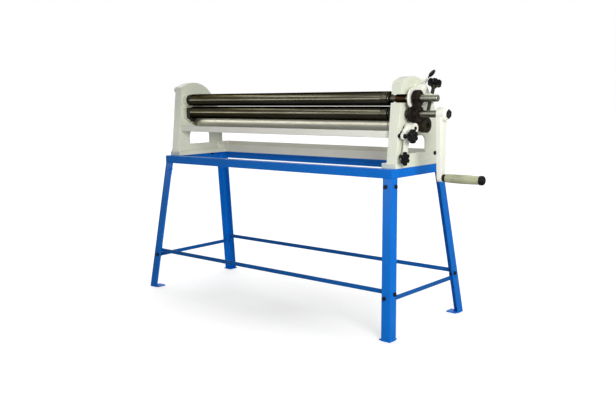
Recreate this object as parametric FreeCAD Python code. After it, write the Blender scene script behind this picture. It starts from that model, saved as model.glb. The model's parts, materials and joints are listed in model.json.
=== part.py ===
import FreeCAD, Part
import math
import os

V = FreeCAD.Vector

# ---------------------------------------------------------------- driving dimensions, mm
# Frame: X along the rolls, crank at +X; Y to the rear; Z up; origin on the floor at the stand's centre.

# Rolls
ROLL_FACE = 1300.0             # working width
ROLL_RADIUS = 32.0
NIP_GAP = 2.0                  # between the top and the lower roll
JOURNAL_RADIUS = 15.0
REAR_JOURNAL_RADIUS = 12.0
TOP_ROLL_Y = -92.0
TOP_ROLL_RISE = 299.0          # above the stand's top
REAR_ROLL_Y = -34.0
REAR_ROLL_RISE = 184.0
REAR_TRAVEL = 50.0             # of the rear roll, along the slanted guides
REAR_SLANT = math.radians(23.6)
PINCH_TRAVEL = 3.0             # of the lower roll, downwards
GROOVE_RADII = (2.2, 3.0, 3.8)
GROOVE_PITCH = 11.0
GROOVE_START = 9.0             # roll end to the first groove
ROLL_CHAMFER = 1.0
LEFT_END_ROOM = 55.0           # roll face to housing, left
RIGHT_END_ROOM = 35.0          # roll face to housing, right

# Clearances
RUN_CLEAR = 0.05               # shafts in their bearings
SEAT_CLEAR = 0.02              # keyed, pressed and bolted pieces
SLIDE_CLEAR = 0.15             # each side of a sliding block
BOLT_CLEAR = 0.4
AIR = 0.5                      # between faces that pass each other

# Stand
STAND_WIDTH = 425.0
STAND_HEIGHT = 726.0
STAND_OVERHANG = 5.0
RAIL_FLANGE = 40.0
RAIL_WALL = 5.0
LEG_FLANGE = 46.0
LEG_WALL = 5.0
SPLAY_X = 59.0
SPLAY_Y = 97.0
GUSSET_WALL = 5.0
GUSSET_DROP = 70.0             # below the top rails
GUSSET_WIDTH = 38.0
UPPER_BOLT_DROP = 75.0         # below the stand's top
LOWER_RAIL_HEIGHT = 20.0
LOWER_RAIL_WALL = 4.0
LONG_RAIL_Z = 206.0            # middle of the front and rear lower rails
SIDE_RAIL_Z = 176.0            # middle of the left and right lower rails
LOWER_GUSSET_BOTTOM = 160.0
LOWER_GUSSET_HEIGHT = 64.0
LONG_BOLT_Z = 181.0
SIDE_BOLT_Z = 197.0
FOOT_SIZE = 56.0
FOOT_WALL = 5.0
FOOT_HOLE_RADIUS = 6.0
FOOT_CORNER = 11.0
STAND_BOLT_RADIUS = 5.0
LEG_BOLT_GAUGE = 30.0          # leg corner to bolt, along each flange

# End housings
HOUSING_DEPTH = 50.0
HOUSING_WEB = 12.0             # wall behind each casting's open pocket
HOUSING_RIM = 28.0
BASE_WALL = 22.0
BASE_INNER_REACH = 23.0        # base flange inside the rim
BASE_FRONT_Y = -178.0
BASE_REAR_Y = 190.0
BASE_CORNER = 4.0
FRONT_FOOT_Y = -171.0
FRONT_TOP_Y = -130.0
FRONT_TOP_RISE = 356.0
FRONT_CORNER_DEPTH = 27.0      # front edge to the start of the dome
FRONT_CORNER_BULGE = 4.0
DOME_Y = -38.0
DOME_RISE = 236.0
DOME_RADIUS = 158.0
REAR_EDGE_Y = 164.0
SHOULDER_Y = 92.0
SHOULDER_RISE = 199.0
SHOULDER_BULGE = 3.0
ARCH_FRONT_Y = -80.0
ARCH_REAR_Y = 70.0
ARCH_SILL_RISE = 59.0
ARCH_HEIGHT = 75.0
ARCH_CORNER = 32.0
HOLD_DOWN_RADIUS = 4.8
HOLD_DOWN_Y = (-112.0, 108.0)
HOLD_DOWN_SETBACK = 23.0       # casting's outer face to bolt
NUB_RADIUS = 16.0
NUB_ROUND = 4.0
NUB_LENGTH = 16.0
NUB_Y = -112.0
NUB_RISE = 357.0

# Bearings
BUSH_WALL = 3.0
TOP_BLOCK_RADIUS = 30.0
SEAT_DEPTH = 19.0              # of the left top bearing in its casting
SEAT_WALL = 12.0
BEARING_AIR = 3.0              # bearing faces to the roll faces
BEARING_CHAMFER = 2.0
BLOCK_WIDTH = 60.0
BLOCK_RISE = 26.0              # above the lower roll's axis
BLOCK_TAPER_DROP = 29.0
BLOCK_NOSE_DROP = 51.6
BLOCK_NOSE_RADIUS = 8.0
BLOCK_FACE_THICKNESS = 26.0
BLOCK_CORNER = 8.0
NECK_WIDTH = 44.0
NECK_HEIGHT = 60.0
PAD_MARGIN = 14.0              # guide pad round each slot
PAD_DEPTH = 36.0
REAR_EYE_RADIUS = 34.0
REAR_EYE_WIDTH = 30.0
REAR_EYE_OFFSET = 40.0         # housing to eye
TONGUE_WIDTH = 36.0
TONGUE_LENGTH = 50.0
REAR_NECK_RADIUS = 13.0
REAR_NECK_END = 46.0

# Rear adjusting screws
ROD_RADIUS = 8.0
ROD_LUG_CENTRE = 122.0         # along the rod from the roll's axis
ROD_LUG_LENGTH = 34.0
ROD_LUG_RADIUS = 17.0
ROD_COLLAR_RADIUS = 13.0
ROD_COLLAR_LENGTH = 10.0
ROD_TIP = 4.0                  # rod past its knob
REAR_KNOB_CENTRE = 197.0
REAR_KNOB_RADIUS = 33.0
KNOB_THICKNESS = 24.0

# Gears and drive
GEAR_TEETH = 22
GEAR_WIDTH = 24.0
GEAR_RECESS = 3.0
GEAR_RIM = 5.0
PRESSURE_ANGLE = math.radians(20)
FLANK_STEPS = 4
GEAR_OFFSET = 44.0             # housing to gears
BACKLASH = 0.3
DRUM_RADIUS = 36.0
DRUM_WIDTH = 20.0
TOP_SHAFT_OVERHANG = 158.0     # past the right housing
LOWER_SHAFT_OVERHANG = 161.0
CRANK_STUB_RADIUS = 11.0
CRANK_HUB_RADIUS = 28.0
CRANK_HUB_LENGTH = 39.0
CRANK_RADIUS = 268.0
CRANK_ARM_THICKNESS = 22.0
CRANK_ARM_START = 1.0          # hub face to arm
CRANK_TIP_RADIUS = 17.0
HUB_CHAMFER = 2.0
CRANK_BOLT_RADIUS = 18.0       # across its corners, halved
CRANK_BOLT_HEIGHT = 13.0
CRANK_WASHER = 3.0
SPINDLE_RADIUS = 7.0
FERRULE_RADIUS = 16.0
FERRULE_LENGTH = 16.0
GRIP_RADIUS = 19.0
GRIP_END_RADIUS = 17.5
GRIP_LENGTH = 157.0
GRIP_CAP_RADIUS = 20.0
GRIP_CAP_LENGTH = 18.0
GRIP_CAP_ROUND = 9.0

# Release latch of the top roll
LATCH_Y = -10.0
LATCH_RISE = 344.0
LATCH_PIN_RADIUS = 7.0
LATCH_PIN_HEAD = 4.0           # rim of its head beyond the pin
LATCH_PIN_HEAD_HEIGHT = 5.5
LATCH_HUB_AIR = 2.0            # housing to hub
LATCH_BOSS_RADIUS = 20.0
LATCH_HUB_RADIUS = 18.0
LATCH_PLATE = 7.0
LATCH_PLATE_OFFSET = 30.0      # housing to hook plate
LATCH_RING_RADIUS = 45.0
LATCH_ARM_THICKNESS = 8.0
LATCH_ARM_SETBACK = 4.0        # hub's inner face to arm
LATCH_ARM_REACH = 74.0
LATCH_ARM_SLOPE = math.radians(31)
LATCH_ARM_TIP_RADIUS = 7.0
LATCH_STEM_RADIUS = 3.5
LATCH_STEM_LENGTH = 12.0
LATCH_HANDLE_RADIUS = 9.5
LATCH_HANDLE_LENGTH = 58.0
LATCH_SLOT_SWEEP = 75.0        # degrees cleared for the shaft

# Pinch lever and knobs
PINCH_Y = -110.0
PINCH_RISE = 172.0
PINCH_PIN_RADIUS = 8.0
PINCH_BOSS_RADIUS = 16.0
PINCH_EYE_RADIUS = 23.0
PINCH_EYE_LENGTH = 40.0
PINCH_ARM_OFFSET = 17.0        # housing to arm
PINCH_ARM_THICKNESS = 10.0
PINCH_ARM_RADIUS = 11.0
PINCH_LOBE_RADIUS = 15.0
PINCH_TAIL_Y = -137.0
PINCH_TAIL_RISE = 74.0
CLAMP_Y = -150.0
CLAMP_RISE = 140.0
CLAMP_STUD_RADIUS = 6.0
CLAMP_SWEEP = 13.0             # degrees of the arm's curved slot
CLAMP_NUT_RADIUS = 11.0
CLAMP_NUT_HEIGHT = 12.0
CLAMP_HUB_RADIUS = 10.0
CLAMP_HUB_LENGTH = 30.0
CLAMP_STUD_SETBACK = 4.0       # stud's end inside the knob's face
SIDE_KNOB_RADIUS = 30.0
HANDLE_KNOB_Y = -155.0
HANDLE_KNOB_RISE = 44.0
HANDLE_KNOB_THICKNESS = 14.0
HANDLE_STUB_LENGTH = 6.0
HANDLE_COLLAR_RADIUS = 8.0
STOP_BOLT_Y = -141.0
STOP_BOLT_RISE = 50.0
STOP_BOLT_RADIUS = 6.0
STOP_BOLT_GRIP = 10.0
FINGER_REACH = 16.0
FINGER_TIP_RADIUS = 7.0
FINGER_WIDTH = 20.0
FINGER_SETBACK = 3.0           # block face to finger
CAM_SHAFT_TIP = 3.0            # shaft past the lever's eye
SCREW_WINDOW_RISE = 127.0      # window round the left screw's head
SCREW_WINDOW_HEIGHT = 37.0
SCREW_HEAD_HEIGHT = 8.0
SCREW_WINDOW_ROOM = 1.5
LOCK_NUT_RADIUS = 13.0
LOCK_NUT_HEIGHT = 9.0

# Ties
FRONT_TIE_Y = -142.0
FRONT_TIE_DEPTH = 20.0
FRONT_TIE_RISE = 130.0
FRONT_TIE_HEIGHT = 30.0
FRONT_TIE_ROUND = 2.5
FRONT_TIE_BOLT_RISE = 152.0
FRONT_TIE_BOLT_Y = -133.0
TIE_BOLT_RADIUS = 5.0
TIE_BOLT_GRIP = 25.0           # depth in the front tie bar
CHANNEL_FRONT_Y = 168.0
CHANNEL_REAR_Y = 205.0
CHANNEL_WALL = 7.0
CHANNEL_LIP = 38.0             # height of the front lip
CHANNEL_BACK = 61.0            # height of the back
END_PLATE_WALL = 8.0
END_PLATE_FRONT_Y = 124.0
REAR_BOLT_Y = 138.0
REAR_BOLT_RISE = 49.0

# ---------------------------------------------------------------- derived places
HALF_LENGTH = (ROLL_FACE + LEFT_END_ROOM + RIGHT_END_ROOM) / 2 + HOUSING_DEPTH + STAND_OVERHANG
HALF_WIDTH = STAND_WIDTH / 2
OUTER_X = HALF_LENGTH - STAND_OVERHANG
INNER_X = OUTER_X - HOUSING_DEPTH
MID_X = (INNER_X + OUTER_X) / 2
PAD_X0 = MID_X - PAD_DEPTH / 2
PAD_X1 = MID_X + PAD_DEPTH / 2
SEAT_X = INNER_X + SEAT_DEPTH
ROLL_RIGHT = INNER_X - RIGHT_END_ROOM
ROLL_LEFT = ROLL_RIGHT - ROLL_FACE
CENTRE_DISTANCE = 2 * ROLL_RADIUS + NIP_GAP
TOP_ROLL_Z = STAND_HEIGHT + TOP_ROLL_RISE
REAR_ROLL_Z = STAND_HEIGHT + REAR_ROLL_RISE
UPPER_BOLT_Z = STAND_HEIGHT - UPPER_BOLT_DROP
FRONT_TOP_Z = STAND_HEIGHT + FRONT_TOP_RISE
DOME_Z = STAND_HEIGHT + DOME_RISE
SHOULDER_LOW_Z = STAND_HEIGHT + SHOULDER_RISE
ARCH_SILL_Z = STAND_HEIGHT + ARCH_SILL_RISE
ARCH_TOP_Z = ARCH_SILL_Z + ARCH_HEIGHT
NUB_Z = STAND_HEIGHT + NUB_RISE
LATCH_Z = STAND_HEIGHT + LATCH_RISE
LATCH_ARM_END_Y = LATCH_Y + LATCH_ARM_REACH * math.cos(LATCH_ARM_SLOPE)
LATCH_ARM_END_Z = LATCH_Z + LATCH_ARM_REACH * math.sin(LATCH_ARM_SLOPE)
PINCH_Z = STAND_HEIGHT + PINCH_RISE
CLAMP_Z = STAND_HEIGHT + CLAMP_RISE
PINCH_TAIL_Z = STAND_HEIGHT + PINCH_TAIL_RISE
HANDLE_KNOB_Z = STAND_HEIGHT + HANDLE_KNOB_RISE
STOP_BOLT_Z = STAND_HEIGHT + STOP_BOLT_RISE
SCREW_WINDOW_LOW = STAND_HEIGHT + SCREW_WINDOW_RISE
SCREW_WINDOW_HIGH = SCREW_WINDOW_LOW + SCREW_WINDOW_HEIGHT
FRONT_TIE_Z = STAND_HEIGHT + FRONT_TIE_RISE
FRONT_TIE_BOLT_Z = STAND_HEIGHT + FRONT_TIE_BOLT_RISE
REAR_BOLT_Z = STAND_HEIGHT + REAR_BOLT_RISE
LOWER_ROLL_Z = TOP_ROLL_Z - CENTRE_DISTANCE
GEAR_X = OUTER_X + GEAR_OFFSET
RAIL_BOTTOM_Z = STAND_HEIGHT - RAIL_FLANGE
BASE_TOP_Z = STAND_HEIGHT + BASE_WALL
POCKET_FLOOR_Z = STAND_HEIGHT + HOUSING_RIM
SLANT = V(0, math.sin(REAR_SLANT), math.cos(REAR_SLANT))
ROD_X = OUTER_X + REAR_EYE_OFFSET + REAR_EYE_WIDTH / 2
CRANK_X = OUTER_X + LOWER_SHAFT_OVERHANG
ARM_X = CRANK_X + CRANK_ARM_START
GRIP_Z = LOWER_ROLL_Z - CRANK_RADIUS
LATCH_PLATE_X = OUTER_X + LATCH_PLATE_OFFSET
PINCH_ARM_X = OUTER_X + PINCH_ARM_OFFSET
BLOCK_FACE_X = INNER_X - BLOCK_FACE_THICKNESS


# ---------------------------------------------------------------- shared shapes
def box(x0, x1, y0, y1, z0, z1):
    return Part.makeBox(x1 - x0, y1 - y0, z1 - z0, V(x0, y0, z0))


def rod(start, end, radius):
    axis = end - start
    return Part.makeCylinder(radius, axis.Length, start, axis)


def rod_x(x0, x1, y, z, radius):
    return rod(V(x0, y, z), V(x1, y, z), radius)


def ring_x(x0, x1, y, z, radius, bore):
    return rod_x(x0, x1, y, z, radius).cut(rod_x(x0 - 1, x1 + 1, y, z, bore))


def fuse(shapes):
    whole = shapes[0].multiFuse(shapes[1:])
    merged = whole.removeSplitter()
    return merged if merged.isValid() else whole


def cut(shape, tools):
    return shape.cut(tools)


def mirror_x(shape):
    return shape.mirror(V(0, 0, 0), V(1, 0, 0))


def polygon_x(points, x0, x1):
    """A polygon of (Y, Z) points, extruded from X x0 to x1."""
    wire = Part.makePolygon([V(x0, y, z) for y, z in points + points[:1]])
    return Part.Face(wire).extrude(V(x1 - x0, 0, 0))


def hull_of_circles(x0, x1, first, second):
    """A plate bounded by two (Y, Z, radius) circles and their outer tangents."""
    (y0, z0, r0), (y1, z1, r1) = first, second
    reach = math.hypot(y1 - y0, z1 - z0)
    heading = math.atan2(z1 - z0, y1 - y0)
    lean = math.acos((r0 - r1) / reach)
    corners = []
    for y, z, r, side in ((y0, z0, r0, 1), (y0, z0, r0, -1), (y1, z1, r1, -1), (y1, z1, r1, 1)):
        angle = heading + side * lean
        corners.append((y + r * math.cos(angle), z + r * math.sin(angle)))
    return fuse([rod_x(x0, x1, y0, z0, r0), rod_x(x0, x1, y1, z1, r1), polygon_x(corners, x0, x1)])


def arc_slot(x0, x1, centre, radius, half_width, start, sweep):
    """A curved slot with round ends about a (Y, Z) centre; angles in degrees from +Y towards +Z."""
    y, z = centre
    band = Part.makeCylinder(radius + half_width, x1 - x0, V(x0, y, z), V(1, 0, 0), sweep)
    band = band.cut(Part.makeCylinder(radius - half_width, x1 - x0, V(x0, y, z), V(1, 0, 0), sweep))
    reference = band.Vertexes[0].Point
    begin = math.degrees(math.atan2(reference.z - z, reference.y - y))
    angles = [math.degrees(math.atan2(v.Point.z - z, v.Point.y - y)) - begin for v in band.Vertexes]
    lowest = min((a + 180) % 360 - 180 for a in angles)
    band.rotate(V(x0, y, z), V(1, 0, 0), start - begin - lowest)
    ends = []
    for angle in (start, start + sweep):
        turn = math.radians(angle)
        ends.append(rod_x(x0, x1, y + radius * math.cos(turn), z + radius * math.sin(turn), half_width))
    return fuse([band] + ends)


def hexagon(base, axis, across_corners, height):
    """A hexagonal prism standing on base along axis."""
    corners = [V(across_corners * math.cos(k * math.pi / 3), across_corners * math.sin(k * math.pi / 3), 0)
               for k in range(7)]
    prism = Part.Face(Part.makePolygon(corners)).extrude(V(0, 0, height))
    prism.Placement = FreeCAD.Placement(base, FreeCAD.Rotation(V(0, 0, 1), axis))
    return prism


def bolt(seat, outward, radius, grip, nut=True):
    """A hexagon bolt whose head sits on seat, with its shank running inwards through grip."""
    outward = V(outward).normalize()
    head_height = 1.3 * radius
    nut_height = 1.5 * radius
    shapes = [hexagon(seat, outward, 1.9 * radius, head_height)]
    tail = grip + (nut_height + radius / 2 if nut else 0)
    shapes.append(rod(seat - outward * tail, seat + outward * (head_height / 2), radius))
    if nut:
        shapes.append(hexagon(seat - outward * (grip + nut_height), outward, 1.9 * radius, nut_height))
    return fuse(shapes)


def star_knob(centre, axis, radius, thickness, bore, lobes=6):
    """A lobed hand knob with chamfered lobes and its bore along axis."""
    lobe_radius = 0.27 * radius
    shapes = [Part.makeCylinder(0.66 * radius, thickness, V(0, 0, -thickness / 2))]
    for k in range(lobes):
        angle = 2 * math.pi * k / lobes
        reach = radius - lobe_radius
        place = V(reach * math.cos(angle), reach * math.sin(angle), -thickness / 2)
        shapes.append(Part.makeCylinder(lobe_radius, thickness, place))
    disc = Part.makeCylinder(radius, thickness, V(0, 0, -thickness / 2))
    rims = [e for e in disc.Edges if e.BoundBox.ZLength < 0.01]
    knob = fuse(shapes).common(disc.makeChamfer(0.2 * thickness, rims))
    knob = knob.cut(Part.makeCylinder(bore, 2 * thickness, V(0, 0, -thickness)))
    knob.Placement = FreeCAD.Placement(centre, FreeCAD.Rotation(V(0, 0, 1), axis))
    return knob


# ---------------------------------------------------------------- stand
def top_rail(length, across):
    """An angle rail along X with mitred ends: its upright flange on the -Y side, its top flange inwards."""
    y0 = -across
    profile = [(y0, RAIL_BOTTOM_Z), (y0 + RAIL_WALL, RAIL_BOTTOM_Z),
               (y0 + RAIL_WALL, STAND_HEIGHT - RAIL_WALL), (y0 + RAIL_FLANGE, STAND_HEIGHT - RAIL_WALL),
               (y0 + RAIL_FLANGE, STAND_HEIGHT), (y0, STAND_HEIGHT)]
    rail = polygon_x(profile, -length, length)
    corners = [V(-length, y0, 0), V(length, y0, 0), V(length - RAIL_FLANGE, y0 + RAIL_FLANGE, 0),
               V(-length + RAIL_FLANGE, y0 + RAIL_FLANGE, 0)]
    mitre = Part.Face(Part.makePolygon(corners + corners[:1])).extrude(V(0, 0, 2 * STAND_HEIGHT))
    return rail.common(mitre)


def top_rails():
    front = top_rail(HALF_LENGTH, HALF_WIDTH)
    side = top_rail(HALF_WIDTH, HALF_LENGTH)
    rear = front.copy()
    rear.rotate(V(0, 0, 0), V(0, 0, 1), 180)
    right = side.copy()
    right.rotate(V(0, 0, 0), V(0, 0, 1), 90)
    left = side.copy()
    left.rotate(V(0, 0, 0), V(0, 0, 1), -90)
    rails = {"front_top_rail": front, "rear_top_rail": rear, "right_top_rail": right, "left_top_rail": left}
    for x, y in hold_down_places():
        hole = rod(V(x, y, RAIL_BOTTOM_Z), V(x, y, STAND_HEIGHT + 1), HOLD_DOWN_RADIUS + BOLT_CLEAR)
        rails["right_top_rail"] = rails["right_top_rail"].cut(hole)
        rails["left_top_rail"] = rails["left_top_rail"].cut(mirror_x(hole))
    return rails


def leg_offset(z):
    """How far a leg's outer corner has splayed at height z."""
    share = (RAIL_BOTTOM_Z - z) / RAIL_BOTTOM_Z
    return SPLAY_X * share, SPLAY_Y * share


def angle_prism(z_top, z_bottom, inset, flange, wall, splayed=True):
    """An angle section for the (+X, -Y) corner, set in from the leg's outer faces, between two heights."""
    top_x, top_y = leg_offset(z_top) if splayed else (0, 0)
    low_x, low_y = leg_offset(z_bottom) if splayed else (0, 0)
    x = HALF_LENGTH - inset + top_x
    y = -HALF_WIDTH + inset - top_y
    points = [V(x, y, z_top), V(x - flange, y, z_top), V(x - flange, y + wall, z_top),
              V(x - wall, y + wall, z_top), V(x - wall, y + flange, z_top), V(x, y + flange, z_top)]
    face = Part.Face(Part.makePolygon(points + points[:1]))
    return face.extrude(V(low_x - top_x, top_y - low_y, z_bottom - z_top))


def flange_normals():
    """Outward normals of the front and the side flange of the (+X, -Y) leg."""
    run = V(SPLAY_X, -SPLAY_Y, -RAIL_BOTTOM_Z)
    return run.cross(V(1, 0, 0)).normalize(), V(0, 1, 0).cross(run).normalize() * -1


def bolt_seats(front_z, side_z):
    """Head seats on the outer faces of the front and the side flange of the (+X, -Y) leg."""
    reach = LEG_BOLT_GAUGE
    front_dx, front_dy = leg_offset(front_z)
    side_dx, side_dy = leg_offset(side_z)
    front = V(HALF_LENGTH + front_dx - reach, -HALF_WIDTH - front_dy, front_z)
    side = V(HALF_LENGTH + side_dx, -HALF_WIDTH - side_dy + reach, side_z)
    return front, side


def leg_bolts(front_z, side_z, radius):
    """A front and a side bolt for one leg, through the leg and its gusset."""
    grip = LEG_WALL + GUSSET_WALL
    return [bolt(seat, normal, radius, grip)
            for seat, normal in zip(bolt_seats(front_z, side_z), flange_normals())]


def leg_holes():
    """Clearance holes for all bolts of one leg."""
    holes = []
    for front_z, side_z in ((UPPER_BOLT_Z, UPPER_BOLT_Z), (LONG_BOLT_Z, SIDE_BOLT_Z)):
        for seat, normal in zip(bolt_seats(front_z, side_z), flange_normals()):
            depth = 2 * (LEG_WALL + GUSSET_WALL)
            holes.append(rod(seat + normal * depth, seat - normal * depth, STAND_BOLT_RADIUS + BOLT_CLEAR))
    return holes


def corner_copies(shape):
    """The (+X, -Y) corner's shape and its copies at the other three corners."""
    left = mirror_x(shape)
    return {"front_right": shape, "front_left": left,
            "rear_right": shape.mirror(V(0, 0, 0), V(0, 1, 0)),
            "rear_left": left.mirror(V(0, 0, 0), V(0, 1, 0))}


def foot_plate():
    x1 = HALF_LENGTH + SPLAY_X - LEG_WALL - AIR
    y0 = -(HALF_WIDTH + SPLAY_Y - LEG_WALL - 2 * AIR)
    plate = box(x1 - FOOT_SIZE, x1, y0, y0 + FOOT_SIZE, 0, FOOT_WALL)
    upright = [e for e in plate.Edges if e.Length < FOOT_WALL + 0.01 and e.CenterOfMass.x < x1 - 1
               and e.CenterOfMass.y > y0 + 1]
    plate = plate.makeFillet(FOOT_CORNER, upright)
    x, y = x1 - FOOT_SIZE / 2, y0 + FOOT_SIZE / 2
    return plate.cut(rod(V(x, y, -1), V(x, y, FOOT_WALL + 1), FOOT_HOLE_RADIUS))


def legs_and_gussets():
    holes = leg_holes()
    leg = cut(angle_prism(RAIL_BOTTOM_Z, 0, 0, LEG_FLANGE, LEG_WALL), holes)
    foot = foot_plate()
    leg = leg.cut(foot)
    upper = fuse([
        angle_prism(STAND_HEIGHT - RAIL_WALL, RAIL_BOTTOM_Z, RAIL_WALL, GUSSET_WIDTH, GUSSET_WALL, False),
        angle_prism(RAIL_BOTTOM_Z, RAIL_BOTTOM_Z - GUSSET_DROP, LEG_WALL, GUSSET_WIDTH, GUSSET_WALL)])
    lower = angle_prism(LOWER_GUSSET_BOTTOM + LOWER_GUSSET_HEIGHT, LOWER_GUSSET_BOTTOM, LEG_WALL,
                        GUSSET_WIDTH, GUSSET_WALL)
    pieces = {"leg_" + corner: shape for corner, shape in corner_copies(leg).items()}
    pieces["upper_gussets"] = Part.makeCompound(list(corner_copies(cut(upper, holes)).values()))
    pieces["lower_gussets"] = Part.makeCompound(list(corner_copies(cut(lower, holes)).values()))
    pieces["foot_plates"] = Part.makeCompound(list(corner_copies(foot).values()))
    for name, front_z, side_z in (("upper_leg_bolts", UPPER_BOLT_Z, UPPER_BOLT_Z),
                                  ("lower_leg_bolts", LONG_BOLT_Z, SIDE_BOLT_Z)):
        pair = Part.makeCompound(leg_bolts(front_z, side_z, STAND_BOLT_RADIUS))
        solids = [s for copy in corner_copies(pair).values() for s in copy.Solids]
        pieces[name] = Part.makeCompound(solids)
    return pieces


def lower_rails():
    """Flat bars welded to the inner faces of the lower gussets."""
    half = LOWER_RAIL_HEIGHT / 2
    pieces = {}
    dx, dy = leg_offset(LONG_RAIL_Z)
    upper_dy = leg_offset(LONG_RAIL_Z + half)[1]
    y0 = HALF_WIDTH + upper_dy - LEG_WALL - GUSSET_WALL
    x_end = HALF_LENGTH + dx - LEG_WALL - GUSSET_WIDTH / 2 - LEG_FLANGE / 4
    front = box(-x_end, x_end, -y0, -y0 + LOWER_RAIL_WALL, LONG_RAIL_Z - half, LONG_RAIL_Z + half)
    pieces["front_lower_rail"] = front
    pieces["rear_lower_rail"] = front.mirror(V(0, 0, 0), V(0, 1, 0))
    dx, dy = leg_offset(SIDE_RAIL_Z)
    x1 = HALF_LENGTH + leg_offset(SIDE_RAIL_Z + half)[0] - LEG_WALL - GUSSET_WALL
    y_end = HALF_WIDTH + dy - LEG_WALL - GUSSET_WIDTH / 2 - LEG_FLANGE / 4
    right = box(x1 - LOWER_RAIL_WALL, x1, -y_end, y_end, SIDE_RAIL_Z - half, SIDE_RAIL_Z + half)
    pieces["right_lower_rail"] = right
    pieces["left_lower_rail"] = mirror_x(right)
    return pieces


# ---------------------------------------------------------------- end housings
def front_edge_y(z):
    """The sloping front edge of a housing."""
    share = (z - BASE_TOP_Z) / (FRONT_TOP_Z - BASE_TOP_Z)
    return FRONT_FOOT_Y + share * (FRONT_TOP_Y - FRONT_FOOT_Y)


def on_dome(y):
    return DOME_Z + math.sqrt(DOME_RADIUS ** 2 - (y - DOME_Y) ** 2)


def housing_outline(x):
    """Front edge, small front corner, dome, rear shoulder and rear edge, as one closed wire."""
    corner_y = FRONT_TOP_Y + FRONT_CORNER_DEPTH
    foot = V(x, front_edge_y(STAND_HEIGHT), STAND_HEIGHT)
    top = V(x, FRONT_TOP_Y, FRONT_TOP_Z)
    dome_front = V(x, corner_y, on_dome(corner_y))
    dome_top = V(x, DOME_Y, DOME_Z + DOME_RADIUS)
    dome_rear = V(x, SHOULDER_Y, on_dome(SHOULDER_Y))
    rear_high = V(x, REAR_EDGE_Y, SHOULDER_LOW_Z)
    middle = (dome_rear + rear_high) * 0.5 + V(0, SHOULDER_BULGE, SHOULDER_BULGE)
    rear_low = V(x, REAR_EDGE_Y, STAND_HEIGHT)
    corner = (top + dome_front) * 0.5 + V(0, -FRONT_CORNER_BULGE, FRONT_CORNER_BULGE)
    return Part.Wire([
        Part.LineSegment(foot, top).toShape(), Part.Arc(top, corner, dome_front).toShape(),
        Part.Arc(dome_front, dome_top, dome_rear).toShape(), Part.Arc(dome_rear, middle, rear_high).toShape(),
        Part.LineSegment(rear_high, rear_low).toShape(), Part.LineSegment(rear_low, foot).toShape()])


def slant_box(x0, x1, low, high, half_width):
    """A box along the slanted guide, from low to high along it, about the rear roll's axis."""
    block = box(x0, x1, -half_width, half_width, low, high)
    block.rotate(V(0, 0, 0), V(1, 0, 0), -math.degrees(REAR_SLANT))
    block.translate(V(0, REAR_ROLL_Y, REAR_ROLL_Z))
    return block


def rear_axis_point(x, along):
    return V(x, REAR_ROLL_Y, REAR_ROLL_Z) + SLANT * along


def arch(x0, x1):
    window = box(x0, x1, ARCH_FRONT_Y, ARCH_REAR_Y, ARCH_SILL_Z, ARCH_TOP_Z)
    tops = [e for e in window.Edges if abs(e.Length - (x1 - x0)) < 0.01 and e.CenterOfMass.z > ARCH_TOP_Z - 1]
    return window.makeFillet(ARCH_CORNER, tops)


def housing_blank(open_side):
    """Rim, base flange, guide pads and screw lug, drawn for the +X end; its pocket opens to one side."""
    outline = Part.Face(housing_outline(INNER_X))
    body = outline.extrude(V(HOUSING_DEPTH, 0, 0))
    pocket = outline.makeOffset2D(-HOUSING_RIM).extrude(V(HOUSING_DEPTH - HOUSING_WEB, 0, 0))
    if open_side == "outer":
        pocket.translate(V(HOUSING_WEB, 0, 0))
    body = body.cut(pocket)
    base = box(INNER_X - BASE_INNER_REACH, HALF_LENGTH, BASE_FRONT_Y, BASE_REAR_Y, STAND_HEIGHT, BASE_TOP_Z)
    verticals = [e for e in base.Edges if abs(e.Length - BASE_WALL) < 0.01]
    base = base.makeFillet(BASE_CORNER, verticals)
    half = NECK_WIDTH / 2 + PAD_MARGIN
    lower_pad = box(PAD_X0, PAD_X1, TOP_ROLL_Y - half, TOP_ROLL_Y + half,
                    LOWER_ROLL_Z - NECK_HEIGHT / 2 - PINCH_TRAVEL - PAD_MARGIN,
                    LOWER_ROLL_Z + NECK_HEIGHT / 2 + PAD_MARGIN)
    rear_pad = slant_box(PAD_X0, PAD_X1, -TONGUE_LENGTH / 2 - PAD_MARGIN,
                         TONGUE_LENGTH / 2 + REAR_TRAVEL + PAD_MARGIN, TONGUE_WIDTH / 2 + PAD_MARGIN)
    lug_low = ROD_LUG_CENTRE - ROD_LUG_LENGTH / 2
    lug_high = ROD_LUG_CENTRE + ROD_LUG_LENGTH / 2
    lug = slant_box(INNER_X + HOUSING_WEB / 2, ROD_X, lug_low, lug_high, ROD_LUG_RADIUS)
    lug_end = rod(rear_axis_point(ROD_X, lug_low), rear_axis_point(ROD_X, lug_high), ROD_LUG_RADIUS)
    return fuse([body, base, lower_pad, rear_pad, lug, lug_end])


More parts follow.
